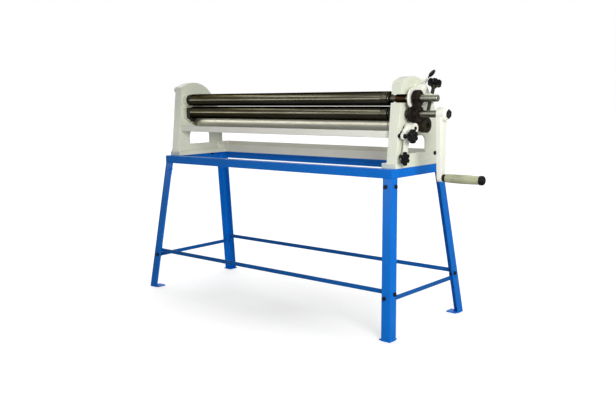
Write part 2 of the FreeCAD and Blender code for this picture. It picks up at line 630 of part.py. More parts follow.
def housing_cuts():
    """Arch window, guide slots, shaft slot and the rear screw's thread, common to both ends."""
    x0 = INNER_X - 1
    x1 = OUTER_X + 1
    lower_slot = box(x0, PAD_X1 + AIR, TOP_ROLL_Y - NECK_WIDTH / 2 - SLIDE_CLEAR,
                     TOP_ROLL_Y + NECK_WIDTH / 2 + SLIDE_CLEAR,
                     LOWER_ROLL_Z - NECK_HEIGHT / 2 - PINCH_TRAVEL - AIR,
                     LOWER_ROLL_Z + NECK_HEIGHT / 2 + AIR)
    shaft_room = JOURNAL_RADIUS + 2 * AIR
    shaft_slot = hull_of_circles(PAD_X1, x1, (TOP_ROLL_Y, LOWER_ROLL_Z, shaft_room),
                                 (TOP_ROLL_Y, LOWER_ROLL_Z - PINCH_TRAVEL, shaft_room))
    rear_slot = slant_box(x0, x1, -TONGUE_LENGTH / 2 - AIR, TONGUE_LENGTH / 2 + REAR_TRAVEL + AIR,
                          TONGUE_WIDTH / 2 + SLIDE_CLEAR)
    thread = rod(rear_axis_point(ROD_X, ROD_LUG_CENTRE - ROD_LUG_LENGTH),
                 rear_axis_point(ROD_X, ROD_LUG_CENTRE + ROD_LUG_LENGTH), ROD_RADIUS + 2 * RUN_CLEAR)
    return [arch(x0, x1), lower_slot, shaft_slot, rear_slot, thread]


def hold_down_places():
    """(X, Y) of the +X housing's hold-down bolts, on the floor of its pocket."""
    return [(OUTER_X - HOLD_DOWN_SETBACK, y) for y in HOLD_DOWN_Y]


def tie_bolt_places():
    """(Y, Z) of the bolts that hold the front tie bar and the rear tie channel."""
    front = (FRONT_TIE_BOLT_Y, FRONT_TIE_BOLT_Z)
    return [front, (REAR_BOLT_Y, REAR_BOLT_Z)]


def fastener_holes():
    holes = [rod(V(x, y, STAND_HEIGHT - 1), V(x, y, POCKET_FLOOR_Z + 1), HOLD_DOWN_RADIUS + BOLT_CLEAR)
             for x, y in hold_down_places()]
    for y, z in tie_bolt_places():
        holes.append(rod_x(INNER_X - 1, OUTER_X + 1, y, z, TIE_BOLT_RADIUS + BOLT_CLEAR))
    return holes


def right_housing():
    """Flat outside; latch and pinch bosses, and a slot open to the front for the top roll's journal."""
    latch_boss = rod_x(MID_X, OUTER_X + LATCH_HUB_AIR - AIR, LATCH_Y, LATCH_Z, LATCH_BOSS_RADIUS)
    pinch_boss = rod_x(PAD_X0, OUTER_X, PINCH_Y, PINCH_Z, PINCH_BOSS_RADIUS)
    slot_half = JOURNAL_RADIUS + BUSH_WALL + SEAT_CLEAR
    bush_boss = rod_x(INNER_X, OUTER_X, TOP_ROLL_Y, TOP_ROLL_Z, slot_half + PAD_MARGIN)
    body = fuse([housing_blank("inner"), latch_boss, pinch_boss, bush_boss])
    slot_end = rod_x(INNER_X - 1, OUTER_X + 1, TOP_ROLL_Y, TOP_ROLL_Z, slot_half)
    slot = box(INNER_X - 1, OUTER_X + 1, BASE_FRONT_Y, TOP_ROLL_Y, TOP_ROLL_Z - slot_half,
               TOP_ROLL_Z + slot_half)
    latch_hole = rod_x(INNER_X, OUTER_X + LATCH_HUB_AIR, LATCH_Y, LATCH_Z, LATCH_PIN_RADIUS + SEAT_CLEAR)
    pinch_hole = rod_x(INNER_X - 1, OUTER_X + 1, PINCH_Y, PINCH_Z, PINCH_PIN_RADIUS + RUN_CLEAR)
    stud_hole = rod_x(MID_X, OUTER_X + 1, CLAMP_Y, CLAMP_Z, CLAMP_STUD_RADIUS + SEAT_CLEAR)
    stop_hole = rod_x(OUTER_X - STOP_BOLT_GRIP - AIR, OUTER_X + 1, STOP_BOLT_Y, STOP_BOLT_Z,
                      STOP_BOLT_RADIUS + SEAT_CLEAR)
    holes = [slot_end, slot, latch_hole, pinch_hole, stud_hole, stop_hole]
    return cut(body, housing_cuts() + holes + fastener_holes())


def left_screw_boss():
    z1 = LOWER_ROLL_Z - NECK_HEIGHT / 2 - PINCH_TRAVEL - AIR
    return rod(V(MID_X, TOP_ROLL_Y, SCREW_WINDOW_HIGH), V(MID_X, TOP_ROLL_Y, z1), PINCH_BOSS_RADIUS)


def left_housing():
    """Flat inside; a bored seat for the top roll's bearing, a pinch screw boss and the nub outside."""
    seat_boss = rod_x(INNER_X, PAD_X1, TOP_ROLL_Y, TOP_ROLL_Z, TOP_BLOCK_RADIUS + SEAT_WALL)
    nub = rod_x(MID_X, OUTER_X + NUB_LENGTH, NUB_Y, NUB_Z, NUB_RADIUS)
    nub_rim = [e for e in nub.Edges if e.BoundBox.XMin > OUTER_X]
    nub = nub.makeFillet(NUB_ROUND, nub_rim)
    body = fuse([housing_blank("outer"), seat_boss, left_screw_boss(), nub])
    seat = rod_x(INNER_X - 1, SEAT_X, TOP_ROLL_Y, TOP_ROLL_Z, TOP_BLOCK_RADIUS + SEAT_CLEAR)
    bore = rod_x(INNER_X, OUTER_X, TOP_ROLL_Y, TOP_ROLL_Z, JOURNAL_RADIUS + AIR)
    screw_hole = rod(V(MID_X, TOP_ROLL_Y, SCREW_WINDOW_LOW), V(MID_X, TOP_ROLL_Y, LOWER_ROLL_Z),
                     ROD_RADIUS + 2 * RUN_CLEAR)
    half = LOCK_NUT_RADIUS + SCREW_WINDOW_ROOM
    window = box(MID_X - half, OUTER_X, TOP_ROLL_Y - half, TOP_ROLL_Y + half, SCREW_WINDOW_LOW,
                 SCREW_WINDOW_HIGH)
    return mirror_x(cut(body, housing_cuts() + [seat, bore, screw_hole, window] + fastener_holes()))


# ---------------------------------------------------------------- ties and fasteners
def tie_bolt_holes(y, z):
    reach = INNER_X - TIE_BOLT_GRIP - AIR
    radius = TIE_BOLT_RADIUS + SEAT_CLEAR
    return [rod_x(side * reach, side * (INNER_X + 1), y, z, radius) for side in (-1, 1)]


def front_tie_bar():
    z1 = FRONT_TIE_Z + FRONT_TIE_HEIGHT
    bar = box(-INNER_X, INNER_X, FRONT_TIE_Y, FRONT_TIE_Y + FRONT_TIE_DEPTH, FRONT_TIE_Z, z1)
    long_edges = [e for e in bar.Edges if e.Length > INNER_X]
    bar = bar.makeFillet(FRONT_TIE_ROUND, long_edges)
    (y, z), _ = tie_bolt_places()
    return cut(bar, tie_bolt_holes(y, z))


def rear_tie_channel():
    """A channel with a tall back and a low front lip, and an end plate bolted to each housing."""
    z0 = BASE_TOP_Z
    x1 = INNER_X - END_PLATE_WALL
    floor_z = STAND_HEIGHT + AIR
    lip_z = floor_z + CHANNEL_LIP
    back_z = floor_z + CHANNEL_BACK
    lip_y = CHANNEL_FRONT_Y + CHANNEL_WALL
    back_y = CHANNEL_REAR_Y - CHANNEL_WALL
    profile = [(CHANNEL_FRONT_Y, floor_z), (CHANNEL_REAR_Y, floor_z), (CHANNEL_REAR_Y, back_z),
               (back_y, back_z), (back_y, floor_z + CHANNEL_WALL), (lip_y, floor_z + CHANNEL_WALL),
               (lip_y, lip_z), (CHANNEL_FRONT_Y, lip_z)]
    inner = INNER_X - BASE_INNER_REACH - AIR
    channel = polygon_x(profile, -inner, inner)
    shapes = [channel]
    for side in (-1, 1):
        x0, x2 = sorted((side * x1, side * INNER_X))
        plate = box(x0, x2, END_PLATE_FRONT_Y, CHANNEL_REAR_Y, z0, back_z)
        x3, x4 = sorted((side * (inner - CHANNEL_WALL), side * x1))
        bridge = box(x3, x4, back_y, CHANNEL_REAR_Y, z0, back_z)
        shapes += [plate, bridge]
    _, (y, z) = tie_bolt_places()
    return cut(fuse(shapes), tie_bolt_holes(y, z))


def tie_bolts():
    """Hexagon bolts through the rims into the front tie bar and the rear channel's end plates."""
    (front_y, front_z), (rear_y, rear_z) = tie_bolt_places()
    outward = V(1, 0, 0)
    front_grip = HOUSING_DEPTH + TIE_BOLT_GRIP
    rear_grip = HOUSING_DEPTH + END_PLATE_WALL
    right = [bolt(V(OUTER_X, front_y, front_z), outward, TIE_BOLT_RADIUS, front_grip, nut=False),
             bolt(V(OUTER_X, rear_y, rear_z), outward, TIE_BOLT_RADIUS, rear_grip)]
    return Part.makeCompound(right + [mirror_x(s) for s in right])


def hold_down_bolts():
    """Bolts through each housing's foot and the top rail's flange under it."""
    shapes = []
    for x, y in hold_down_places():
        stud = bolt(V(x, y, POCKET_FLOOR_Z), V(0, 0, 1), HOLD_DOWN_RADIUS, HOUSING_RIM + RAIL_WALL)
        shapes += [stud, mirror_x(stud)]
    return Part.makeCompound(shapes)


# ---------------------------------------------------------------- rolls
def grooved_roll(y, z):
    roll = rod_x(ROLL_LEFT, ROLL_RIGHT, y, z, ROLL_RADIUS)
    ends = [e for e in roll.Edges if e.BoundBox.XLength < 0.01]
    roll = roll.makeChamfer(ROLL_CHAMFER, ends)
    rings = []
    for k, radius in enumerate(GROOVE_RADII):
        x = ROLL_RIGHT - GROOVE_START - GROOVE_PITCH * k
        rings.append(Part.makeTorus(ROLL_RADIUS, radius, V(x, y, z), V(1, 0, 0)))
    return cut(roll, rings)


def top_roll():
    end = OUTER_X + TOP_SHAFT_OVERHANG
    shaft = rod_x(-OUTER_X + AIR, end, TOP_ROLL_Y, TOP_ROLL_Z, JOURNAL_RADIUS)
    tip = [e for e in shaft.Edges if e.BoundBox.XMin > end - 1]
    shaft = shaft.makeFillet(JOURNAL_RADIUS * 0.4, tip)
    return fuse([grooved_roll(TOP_ROLL_Y, TOP_ROLL_Z), shaft])


def lower_roll():
    shaft = rod_x(-PAD_X1, CRANK_X, TOP_ROLL_Y, LOWER_ROLL_Z, JOURNAL_RADIUS)
    stub = rod_x(CRANK_X, CRANK_X + CRANK_HUB_LENGTH, TOP_ROLL_Y, LOWER_ROLL_Z, CRANK_STUB_RADIUS)
    return fuse([grooved_roll(TOP_ROLL_Y, LOWER_ROLL_Z), shaft, stub])


def rear_roll():
    end = OUTER_X + REAR_EYE_OFFSET + REAR_EYE_WIDTH
    shaft = rod_x(-end, end, REAR_ROLL_Y, REAR_ROLL_Z, REAR_JOURNAL_RADIUS)
    return fuse([grooved_roll(REAR_ROLL_Y, REAR_ROLL_Z), shaft])


# ---------------------------------------------------------------- bearings
def top_bush_right():
    return ring_x(INNER_X, OUTER_X, TOP_ROLL_Y, TOP_ROLL_Z, JOURNAL_RADIUS + BUSH_WALL,
                  JOURNAL_RADIUS + RUN_CLEAR)


def top_bearing_left():
    x0 = -SEAT_X
    block = rod_x(x0, ROLL_LEFT - BEARING_AIR, TOP_ROLL_Y, TOP_ROLL_Z, TOP_BLOCK_RADIUS)
    face = [e for e in block.Edges if e.BoundBox.XMin > ROLL_LEFT - 2 * BEARING_AIR]
    block = block.makeChamfer(BEARING_CHAMFER, face)
    return block.cut(rod_x(x0 - 1, ROLL_LEFT, TOP_ROLL_Y, TOP_ROLL_Z, JOURNAL_RADIUS + RUN_CLEAR))


def lower_block(x_face):
    """A bearing block with a tapered nose, and a neck that slides in the housing's guide slot."""
    half = BLOCK_WIDTH / 2
    top_z = LOWER_ROLL_Z + BLOCK_RISE
    taper_z = LOWER_ROLL_Z - BLOCK_TAPER_DROP
    nose_z = LOWER_ROLL_Z - BLOCK_NOSE_DROP + BLOCK_NOSE_RADIUS
    points = [(TOP_ROLL_Y - half, top_z), (TOP_ROLL_Y - half, taper_z),
              (TOP_ROLL_Y - BLOCK_NOSE_RADIUS, nose_z), (TOP_ROLL_Y + BLOCK_NOSE_RADIUS, nose_z),
              (TOP_ROLL_Y + half, taper_z), (TOP_ROLL_Y + half, top_z)]
    body = polygon_x(points, x_face, INNER_X - 2 * AIR)
    corners = [e for e in body.Edges if e.BoundBox.XLength > 1 and e.CenterOfMass.z > top_z - 1]
    body = body.makeFillet(BLOCK_CORNER, corners)
    nose = rod_x(x_face, INNER_X - 2 * AIR, TOP_ROLL_Y, nose_z, BLOCK_NOSE_RADIUS)
    neck = box(x_face + 1, PAD_X1, TOP_ROLL_Y - NECK_WIDTH / 2, TOP_ROLL_Y + NECK_WIDTH / 2,
               LOWER_ROLL_Z - NECK_HEIGHT / 2, LOWER_ROLL_Z + NECK_HEIGHT / 2)
    neck_front = box(x_face + 1, INNER_X, TOP_ROLL_Y - half, TOP_ROLL_Y + half, top_z, TOP_ROLL_Z)
    body = fuse([body, nose, neck.cut(neck_front)])
    bore = rod_x(x_face - 1, OUTER_X, TOP_ROLL_Y, LOWER_ROLL_Z, JOURNAL_RADIUS + RUN_CLEAR)
    return body.cut(bore)


def lower_blocks():
    right = lower_block(INNER_X - BLOCK_FACE_THICKNESS)
    left = mirror_x(lower_block(BEARING_AIR - ROLL_LEFT))
    return {"lower_bearing_right": right, "lower_bearing_left": left}


def rear_block():
    """A round eye outside the housing, a tongue in the slanted slot and a neck for the screw."""
    x0 = OUTER_X + REAR_EYE_OFFSET
    eye = rod_x(x0, x0 + REAR_EYE_WIDTH, REAR_ROLL_Y, REAR_ROLL_Z, REAR_EYE_RADIUS)
    rims = [e for e in eye.Edges if e.BoundBox.XLength < 0.01]
    eye = eye.makeChamfer(BEARING_CHAMFER, rims)
    tongue = slant_box(PAD_X0, x0 + 1, -TONGUE_LENGTH / 2, TONGUE_LENGTH / 2, TONGUE_WIDTH / 2)
    neck = rod(rear_axis_point(ROD_X, REAR_EYE_RADIUS / 2), rear_axis_point(ROD_X, REAR_NECK_END),
               REAR_NECK_RADIUS)
    bore = rod_x(PAD_X0 - 1, x0 + REAR_EYE_WIDTH + 1, REAR_ROLL_Y, REAR_ROLL_Z,
                 REAR_JOURNAL_RADIUS + RUN_CLEAR)
    socket = rod(rear_axis_point(ROD_X, REAR_EYE_RADIUS - 2), rear_axis_point(ROD_X, REAR_NECK_END + 1),
                 ROD_RADIUS + RUN_CLEAR)
    return cut(fuse([eye, tongue, neck]), [bore, socket])


def rear_screw():
    """A threaded rod with a collar above the lug."""
    low = rear_axis_point(ROD_X, REAR_EYE_RADIUS + AIR)
    high = rear_axis_point(ROD_X, REAR_KNOB_CENTRE + KNOB_THICKNESS / 2 + ROD_TIP)
    collar = rod(rear_axis_point(ROD_X, REAR_KNOB_CENTRE - KNOB_THICKNESS / 2 - ROD_COLLAR_LENGTH),
                 rear_axis_point(ROD_X, REAR_KNOB_CENTRE - KNOB_THICKNESS / 2), ROD_COLLAR_RADIUS)
    return fuse([rod(low, high, ROD_RADIUS), collar])


def rear_knob():
    return star_knob(rear_axis_point(ROD_X, REAR_KNOB_CENTRE), SLANT, REAR_KNOB_RADIUS, KNOB_THICKNESS,
                     ROD_RADIUS + SEAT_CLEAR)


# ---------------------------------------------------------------- gears and crank
def involute_flank(base_radius, start_radius, end_radius, steps):
    """(radius, angle) pairs along an involute from start to end."""
    pairs = []
    for k in range(steps + 1):
        radius = start_radius + (end_radius - start_radius) * k / steps
        pressure = math.acos(min(1.0, base_radius / radius))
        pairs.append((radius, math.tan(pressure) - pressure))
    return pairs


def gear(z, bore, phase):
    """A spur gear with involute teeth, sized so that two mesh at the rolls' centre distance."""
    module = CENTRE_DISTANCE / GEAR_TEETH
    pitch_radius = CENTRE_DISTANCE / 2
    base_radius = pitch_radius * math.cos(PRESSURE_ANGLE)
    tip_radius = pitch_radius + module
    root_radius = pitch_radius - 1.25 * module
    flank = involute_flank(base_radius, max(base_radius, root_radius), tip_radius, FLANK_STEPS)
    half_tooth = math.pi / (2 * GEAR_TEETH) - BACKLASH / 2 / pitch_radius
    half_base = half_tooth + math.tan(PRESSURE_ANGLE) - PRESSURE_ANGLE
    points = []
    for tooth in range(GEAR_TEETH):
        middle = 2 * math.pi * (tooth + phase) / GEAR_TEETH + math.pi / 2
        rise = [(root_radius, middle - half_base)]
        rise += [(r, middle - half_base + a) for r, a in flank]
        fall = [(r, 2 * middle - angle) for r, angle in reversed(rise)]
        points += rise + fall
    outline = [(TOP_ROLL_Y + r * math.cos(a), z + r * math.sin(a)) for r, a in points]
    blank = polygon_x(outline, GEAR_X, GEAR_X + GEAR_WIDTH)
    recess = ring_x(GEAR_X + GEAR_WIDTH - GEAR_RECESS, GEAR_X + GEAR_WIDTH + 1, TOP_ROLL_Y, z,
                    root_radius - GEAR_RIM, bore + GEAR_RIM)
    return cut(blank, [recess, rod_x(GEAR_X - 1, GEAR_X + GEAR_WIDTH + 1, TOP_ROLL_Y, z, bore)])


def shaft_flange():
    return ring_x(GEAR_X - DRUM_WIDTH, GEAR_X, TOP_ROLL_Y, LOWER_ROLL_Z, DRUM_RADIUS,
                  JOURNAL_RADIUS + SEAT_CLEAR)


def crank_arm():
    """A cast arm that tapers from its hub to the tip that holds the grip's spindle."""
    arm = hull_of_circles(ARM_X, ARM_X + CRANK_ARM_THICKNESS,
                          (TOP_ROLL_Y, LOWER_ROLL_Z, CRANK_HUB_RADIUS - HUB_CHAMFER),
                          (TOP_ROLL_Y, GRIP_Z, CRANK_TIP_RADIUS))
    hub = rod_x(CRANK_X, CRANK_X + CRANK_HUB_LENGTH, TOP_ROLL_Y, LOWER_ROLL_Z, CRANK_HUB_RADIUS)
    rims = [e for e in hub.Edges if e.BoundBox.XLength < 0.01]
    hub = hub.makeChamfer(HUB_CHAMFER, rims)
    bores = [rod_x(CRANK_X - 1, CRANK_X + CRANK_HUB_LENGTH + 1, TOP_ROLL_Y, LOWER_ROLL_Z,
                   CRANK_STUB_RADIUS + SEAT_CLEAR),
             rod_x(ARM_X - 1, ARM_X + CRANK_ARM_THICKNESS + 1, TOP_ROLL_Y, GRIP_Z,
                   SPINDLE_RADIUS + SEAT_CLEAR)]
    return cut(fuse([arm, hub]), bores)


def crank_bolt():
    """A washer and a hexagon head over the end of the hub."""
    x = CRANK_X + CRANK_HUB_LENGTH
    washer = rod_x(x, x + CRANK_WASHER, TOP_ROLL_Y, LOWER_ROLL_Z, CRANK_BOLT_RADIUS + CRANK_WASHER)
    head = hexagon(V(x + CRANK_WASHER, TOP_ROLL_Y, LOWER_ROLL_Z), V(1, 0, 0), CRANK_BOLT_RADIUS,
                   CRANK_BOLT_HEIGHT - CRANK_WASHER)
    return fuse([washer, head])


def grip_start():
    return ARM_X + CRANK_ARM_THICKNESS + FERRULE_LENGTH


def grip_spindle():
    """The spindle through the arm's tip, with the ferrule at the arm and the cap at the far end."""
    x0 = ARM_X + CRANK_ARM_THICKNESS
    x1 = grip_start() + GRIP_LENGTH + 2 * AIR
    spindle = rod_x(ARM_X, x1 + GRIP_CAP_LENGTH, TOP_ROLL_Y, GRIP_Z, SPINDLE_RADIUS)
    ferrule = rod_x(x0, grip_start(), TOP_ROLL_Y, GRIP_Z, FERRULE_RADIUS)
    ferrule_rims = [e for e in ferrule.Edges if e.BoundBox.XLength < 0.01]
    return fuse([spindle, ferrule.makeChamfer(HUB_CHAMFER, ferrule_rims)])


def grip_cap():
    x1 = grip_start() + GRIP_LENGTH + 2 * AIR
    cap = rod_x(x1, x1 + GRIP_CAP_LENGTH, TOP_ROLL_Y, GRIP_Z, GRIP_CAP_RADIUS)
    rim = [e for e in cap.Edges if e.BoundBox.XMin > x1 + 1]
    cap = cap.makeFillet(GRIP_CAP_ROUND, rim)
    return cap.cut(rod_x(x1 - 1, x1 + GRIP_CAP_LENGTH + 1, TOP_ROLL_Y, GRIP_Z, SPINDLE_RADIUS + SEAT_CLEAR))


def crank_grip():
    """A turned grip, slightly waisted towards both ends."""
    x0 = grip_start() + AIR
    x1 = grip_start() + GRIP_LENGTH + AIR
    end = GRIP_END_RADIUS
    centre = V(0, TOP_ROLL_Y, GRIP_Z)
    start = V(x0, TOP_ROLL_Y, GRIP_Z + end)
    middle = V((x0 + x1) / 2, TOP_ROLL_Y, GRIP_Z + GRIP_RADIUS)
    finish = V(x1, TOP_ROLL_Y, GRIP_Z + end)
    low = V(x0, TOP_ROLL_Y, GRIP_Z + SPINDLE_RADIUS + RUN_CLEAR)
    far = V(x1, TOP_ROLL_Y, GRIP_Z + SPINDLE_RADIUS + RUN_CLEAR)
    wire = Part.Wire([Part.LineSegment(low, start).toShape(), Part.Arc(start, middle, finish).toShape(),
                      Part.LineSegment(finish, far).toShape(), Part.LineSegment(far, low).toShape()])
    return Part.Face(wire).revolve(centre, V(1, 0, 0), 360)


# ---------------------------------------------------------------- release latch
def latch_hook():
    """A hook plate over the top shaft, its hub on the pivot pin and the arm to the handle."""
    x0 = LATCH_PLATE_X
    x1 = LATCH_PLATE_X + LATCH_PLATE
    hub_x0 = OUTER_X + LATCH_HUB_AIR
    plate = hull_of_circles(x0, x1, (TOP_ROLL_Y, TOP_ROLL_Z, LATCH_RING_RADIUS),
                            (LATCH_Y, LATCH_Z, LATCH_HUB_RADIUS))
    hub = rod_x(hub_x0, x1, LATCH_Y, LATCH_Z, LATCH_HUB_RADIUS)
    arm_x0 = hub_x0 + LATCH_ARM_SETBACK
    arm = hull_of_circles(arm_x0, arm_x0 + LATCH_ARM_THICKNESS, (LATCH_Y, LATCH_Z, LATCH_HUB_RADIUS),
                          (LATCH_ARM_END_Y, LATCH_ARM_END_Z, LATCH_ARM_TIP_RADIUS))
    reach = math.hypot(TOP_ROLL_Y - LATCH_Y, TOP_ROLL_Z - LATCH_Z)
    heading = math.degrees(math.atan2(TOP_ROLL_Z - LATCH_Z, TOP_ROLL_Y - LATCH_Y))
    slot = arc_slot(x0 - 1, x1 + 1, (LATCH_Y, LATCH_Z), reach, JOURNAL_RADIUS + AIR, heading,
                    LATCH_SLOT_SWEEP)
    drum = rod_x(x0 - 1, x1 + 1, TOP_ROLL_Y, LOWER_ROLL_Z, DRUM_RADIUS + 3 * AIR)
    bore = rod_x(hub_x0 - 1, x1 + 1, LATCH_Y, LATCH_Z, LATCH_PIN_RADIUS + RUN_CLEAR)
    body = cut(fuse([plate, hub, arm]), [slot, drum, bore])
    return max(body.Solids, key=lambda s: s.Volume)


def latch_handle():
    """An oval knob on a thin stem, in line with the latch's arm."""
    x = OUTER_X + LATCH_HUB_AIR + LATCH_ARM_SETBACK + LATCH_ARM_THICKNESS / 2
    direction = V(0, math.cos(LATCH_ARM_SLOPE), math.sin(LATCH_ARM_SLOPE))
    tip = V(x, LATCH_ARM_END_Y, LATCH_ARM_END_Z) + direction * LATCH_ARM_TIP_RADIUS
    stem = rod(tip, tip + direction * (LATCH_STEM_LENGTH + LATCH_STEM_RADIUS), LATCH_STEM_RADIUS)
    half = LATCH_HANDLE_LENGTH / 2
    ellipse = Part.Ellipse(V(0, 0, half), V(LATCH_HANDLE_RADIUS, 0, 0), V(0, 0, 0))
    side = Part.ArcOfEllipse(ellipse, 0, math.pi).toShape()
    ends = [v.Point for v in side.Vertexes]
    oval = Part.Face(Part.Wire([side, Part.LineSegment(ends[1], ends[0]).toShape()]))
    oval = oval.revolve(V(0, 0, 0), V(0, 0, 1), 360)
    oval.Placement = FreeCAD.Placement(tip + direction * (LATCH_STEM_LENGTH + half),
                                       FreeCAD.Rotation(V(0, 0, 1), direction))
    return fuse([stem, oval])


def latch_pin():
    x1 = LATCH_PLATE_X + LATCH_PLATE
    shank = rod_x(MID_X, x1 + 1, LATCH_Y, LATCH_Z, LATCH_PIN_RADIUS)
    head = rod_x(x1 + AIR, x1 + AIR + LATCH_PIN_HEAD_HEIGHT, LATCH_Y, LATCH_Z,
                 LATCH_PIN_RADIUS + LATCH_PIN_HEAD)
    return fuse([shank, head])


# ---------------------------------------------------------------- pinch lever and knobs
def pinch_lever():
    """A cast lever: an eye on the cam shaft, a lobe with the clamp's curved slot, a tail and its foot."""
    x0 = PINCH_ARM_X
    x1 = x0 + PINCH_ARM_THICKNESS
    eye = rod_x(x0, x0 + PINCH_EYE_LENGTH, PINCH_Y, PINCH_Z, PINCH_EYE_RADIUS)
    hub = (PINCH_Y, PINCH_Z, PINCH_EYE_RADIUS)
    tail_end = (PINCH_TAIL_Y, PINCH_TAIL_Z, PINCH_ARM_RADIUS)
    lobe = hull_of_circles(x0, x1, hub, (CLAMP_Y, CLAMP_Z, PINCH_LOBE_RADIUS))
    tail = hull_of_circles(x0, x1, hub, tail_end)
    foot = hull_of_circles(x0, x1, tail_end, (HANDLE_KNOB_Y, HANDLE_KNOB_Z, PINCH_ARM_RADIUS))
    body = fuse([eye, lobe, tail, foot])
    reach = math.hypot(CLAMP_Y - PINCH_Y, CLAMP_Z - PINCH_Z)
    heading = math.degrees(math.atan2(CLAMP_Z - PINCH_Z, CLAMP_Y - PINCH_Y))
    slot = arc_slot(x0 - 1, x1 + 1, (PINCH_Y, PINCH_Z), reach, CLAMP_STUD_RADIUS + BOLT_CLEAR, heading,
                    CLAMP_SWEEP)
    bores = [rod_x(x0 - 1, x0 + PINCH_EYE_LENGTH + 1, PINCH_Y, PINCH_Z, PINCH_PIN_RADIUS + SEAT_CLEAR),
             rod_x(x0 - 1, x1 + 1, HANDLE_KNOB_Y, HANDLE_KNOB_Z, CLAMP_STUD_RADIUS + RUN_CLEAR)]
    return cut(body, [slot] + bores)


def cam_shaft():
    """The shaft through the right housing, with the finger that carries the lower bearing block."""
    finger_x = BLOCK_FACE_X + FINGER_SETBACK
    tip_x = PINCH_ARM_X + PINCH_EYE_LENGTH + CAM_SHAFT_TIP
    shaft = rod_x(finger_x, tip_x, PINCH_Y, PINCH_Z, PINCH_PIN_RADIUS)
    tip_z = LOWER_ROLL_Z - BLOCK_NOSE_DROP - FINGER_TIP_RADIUS - AIR
    finger = hull_of_circles(finger_x, finger_x + FINGER_WIDTH, (PINCH_Y, PINCH_Z, PINCH_PIN_RADIUS),
                             (PINCH_Y + FINGER_REACH, tip_z, FINGER_TIP_RADIUS))
    return fuse([shaft, finger])


def clamp_stud():
    """The stud in the housing's rim, with its lock nut and washer."""
    nut_x = OUTER_X
    star_end = PINCH_ARM_X + PINCH_ARM_THICKNESS + CLAMP_HUB_LENGTH + KNOB_THICKNESS
    stud = rod_x(MID_X + AIR, star_end - CLAMP_STUD_SETBACK, CLAMP_Y, CLAMP_Z, CLAMP_STUD_RADIUS)
    nut = hexagon(V(nut_x, CLAMP_Y, CLAMP_Z), V(1, 0, 0), CLAMP_NUT_RADIUS, CLAMP_NUT_HEIGHT)
    washer = rod_x(nut_x + CLAMP_NUT_HEIGHT, PINCH_ARM_X - AIR, CLAMP_Y, CLAMP_Z, CLAMP_NUT_RADIUS)
    return fuse([stud, nut, washer])


def clamp_knob():
    x0 = PINCH_ARM_X + PINCH_ARM_THICKNESS + AIR
    x1 = x0 + CLAMP_HUB_LENGTH
    star = star_knob(V(x1 + KNOB_THICKNESS / 2, CLAMP_Y, CLAMP_Z), V(1, 0, 0), SIDE_KNOB_RADIUS,
                     KNOB_THICKNESS, CLAMP_STUD_RADIUS + RUN_CLEAR)
    hub = ring_x(x0, x1 + 1, CLAMP_Y, CLAMP_Z, CLAMP_HUB_RADIUS, CLAMP_STUD_RADIUS + RUN_CLEAR)
    return fuse([star, hub])


def handle_knob():
    """The star knob at the foot of the lever, with its stud through the lever."""
    x0 = PINCH_ARM_X + PINCH_ARM_THICKNESS + AIR
    star = star_knob(V(x0 + HANDLE_KNOB_THICKNESS / 2, HANDLE_KNOB_Y, HANDLE_KNOB_Z), V(1, 0, 0),
                     SIDE_KNOB_RADIUS, HANDLE_KNOB_THICKNESS, CLAMP_STUD_RADIUS / 2)
    stud = rod_x(PINCH_ARM_X - HANDLE_STUB_LENGTH, x0 + HANDLE_KNOB_THICKNESS / 2, HANDLE_KNOB_Y,
                 HANDLE_KNOB_Z, CLAMP_STUD_RADIUS)
    collar = rod_x(PINCH_ARM_X - HANDLE_STUB_LENGTH, PINCH_ARM_X - AIR, HANDLE_KNOB_Y, HANDLE_KNOB_Z,
                   HANDLE_COLLAR_RADIUS)
    return fuse([star, stud, collar])


def lever_stop_bolt():
    """A hexagon bolt in the right housing's wall, behind the lever's foot."""
    return bolt(V(OUTER_X, STOP_BOLT_Y, STOP_BOLT_Z), V(1, 0, 0), STOP_BOLT_RADIUS, STOP_BOLT_GRIP, nut=False)


def left_pinch_screw():
    """The vertical screw under the left bearing block's neck, with a hexagon head and a lock nut."""
    neck_z = LOWER_ROLL_Z - NECK_HEIGHT / 2
    head_z = SCREW_WINDOW_LOW + PINCH_TRAVEL + SCREW_WINDOW_ROOM
    screw = rod(V(-MID_X, TOP_ROLL_Y, head_z), V(-MID_X, TOP_ROLL_Y, neck_z - RUN_CLEAR), ROD_RADIUS)
    head = hexagon(V(-MID_X, TOP_ROLL_Y, head_z), V(0, 0, 1), LOCK_NUT_RADIUS, SCREW_HEAD_HEIGHT)
    nut = hexagon(V(-MID_X, TOP_ROLL_Y, SCREW_WINDOW_HIGH - LOCK_NUT_HEIGHT - RUN_CLEAR), V(0, 0, 1),
                  LOCK_NUT_RADIUS, LOCK_NUT_HEIGHT)
    return fuse([screw, head, nut])


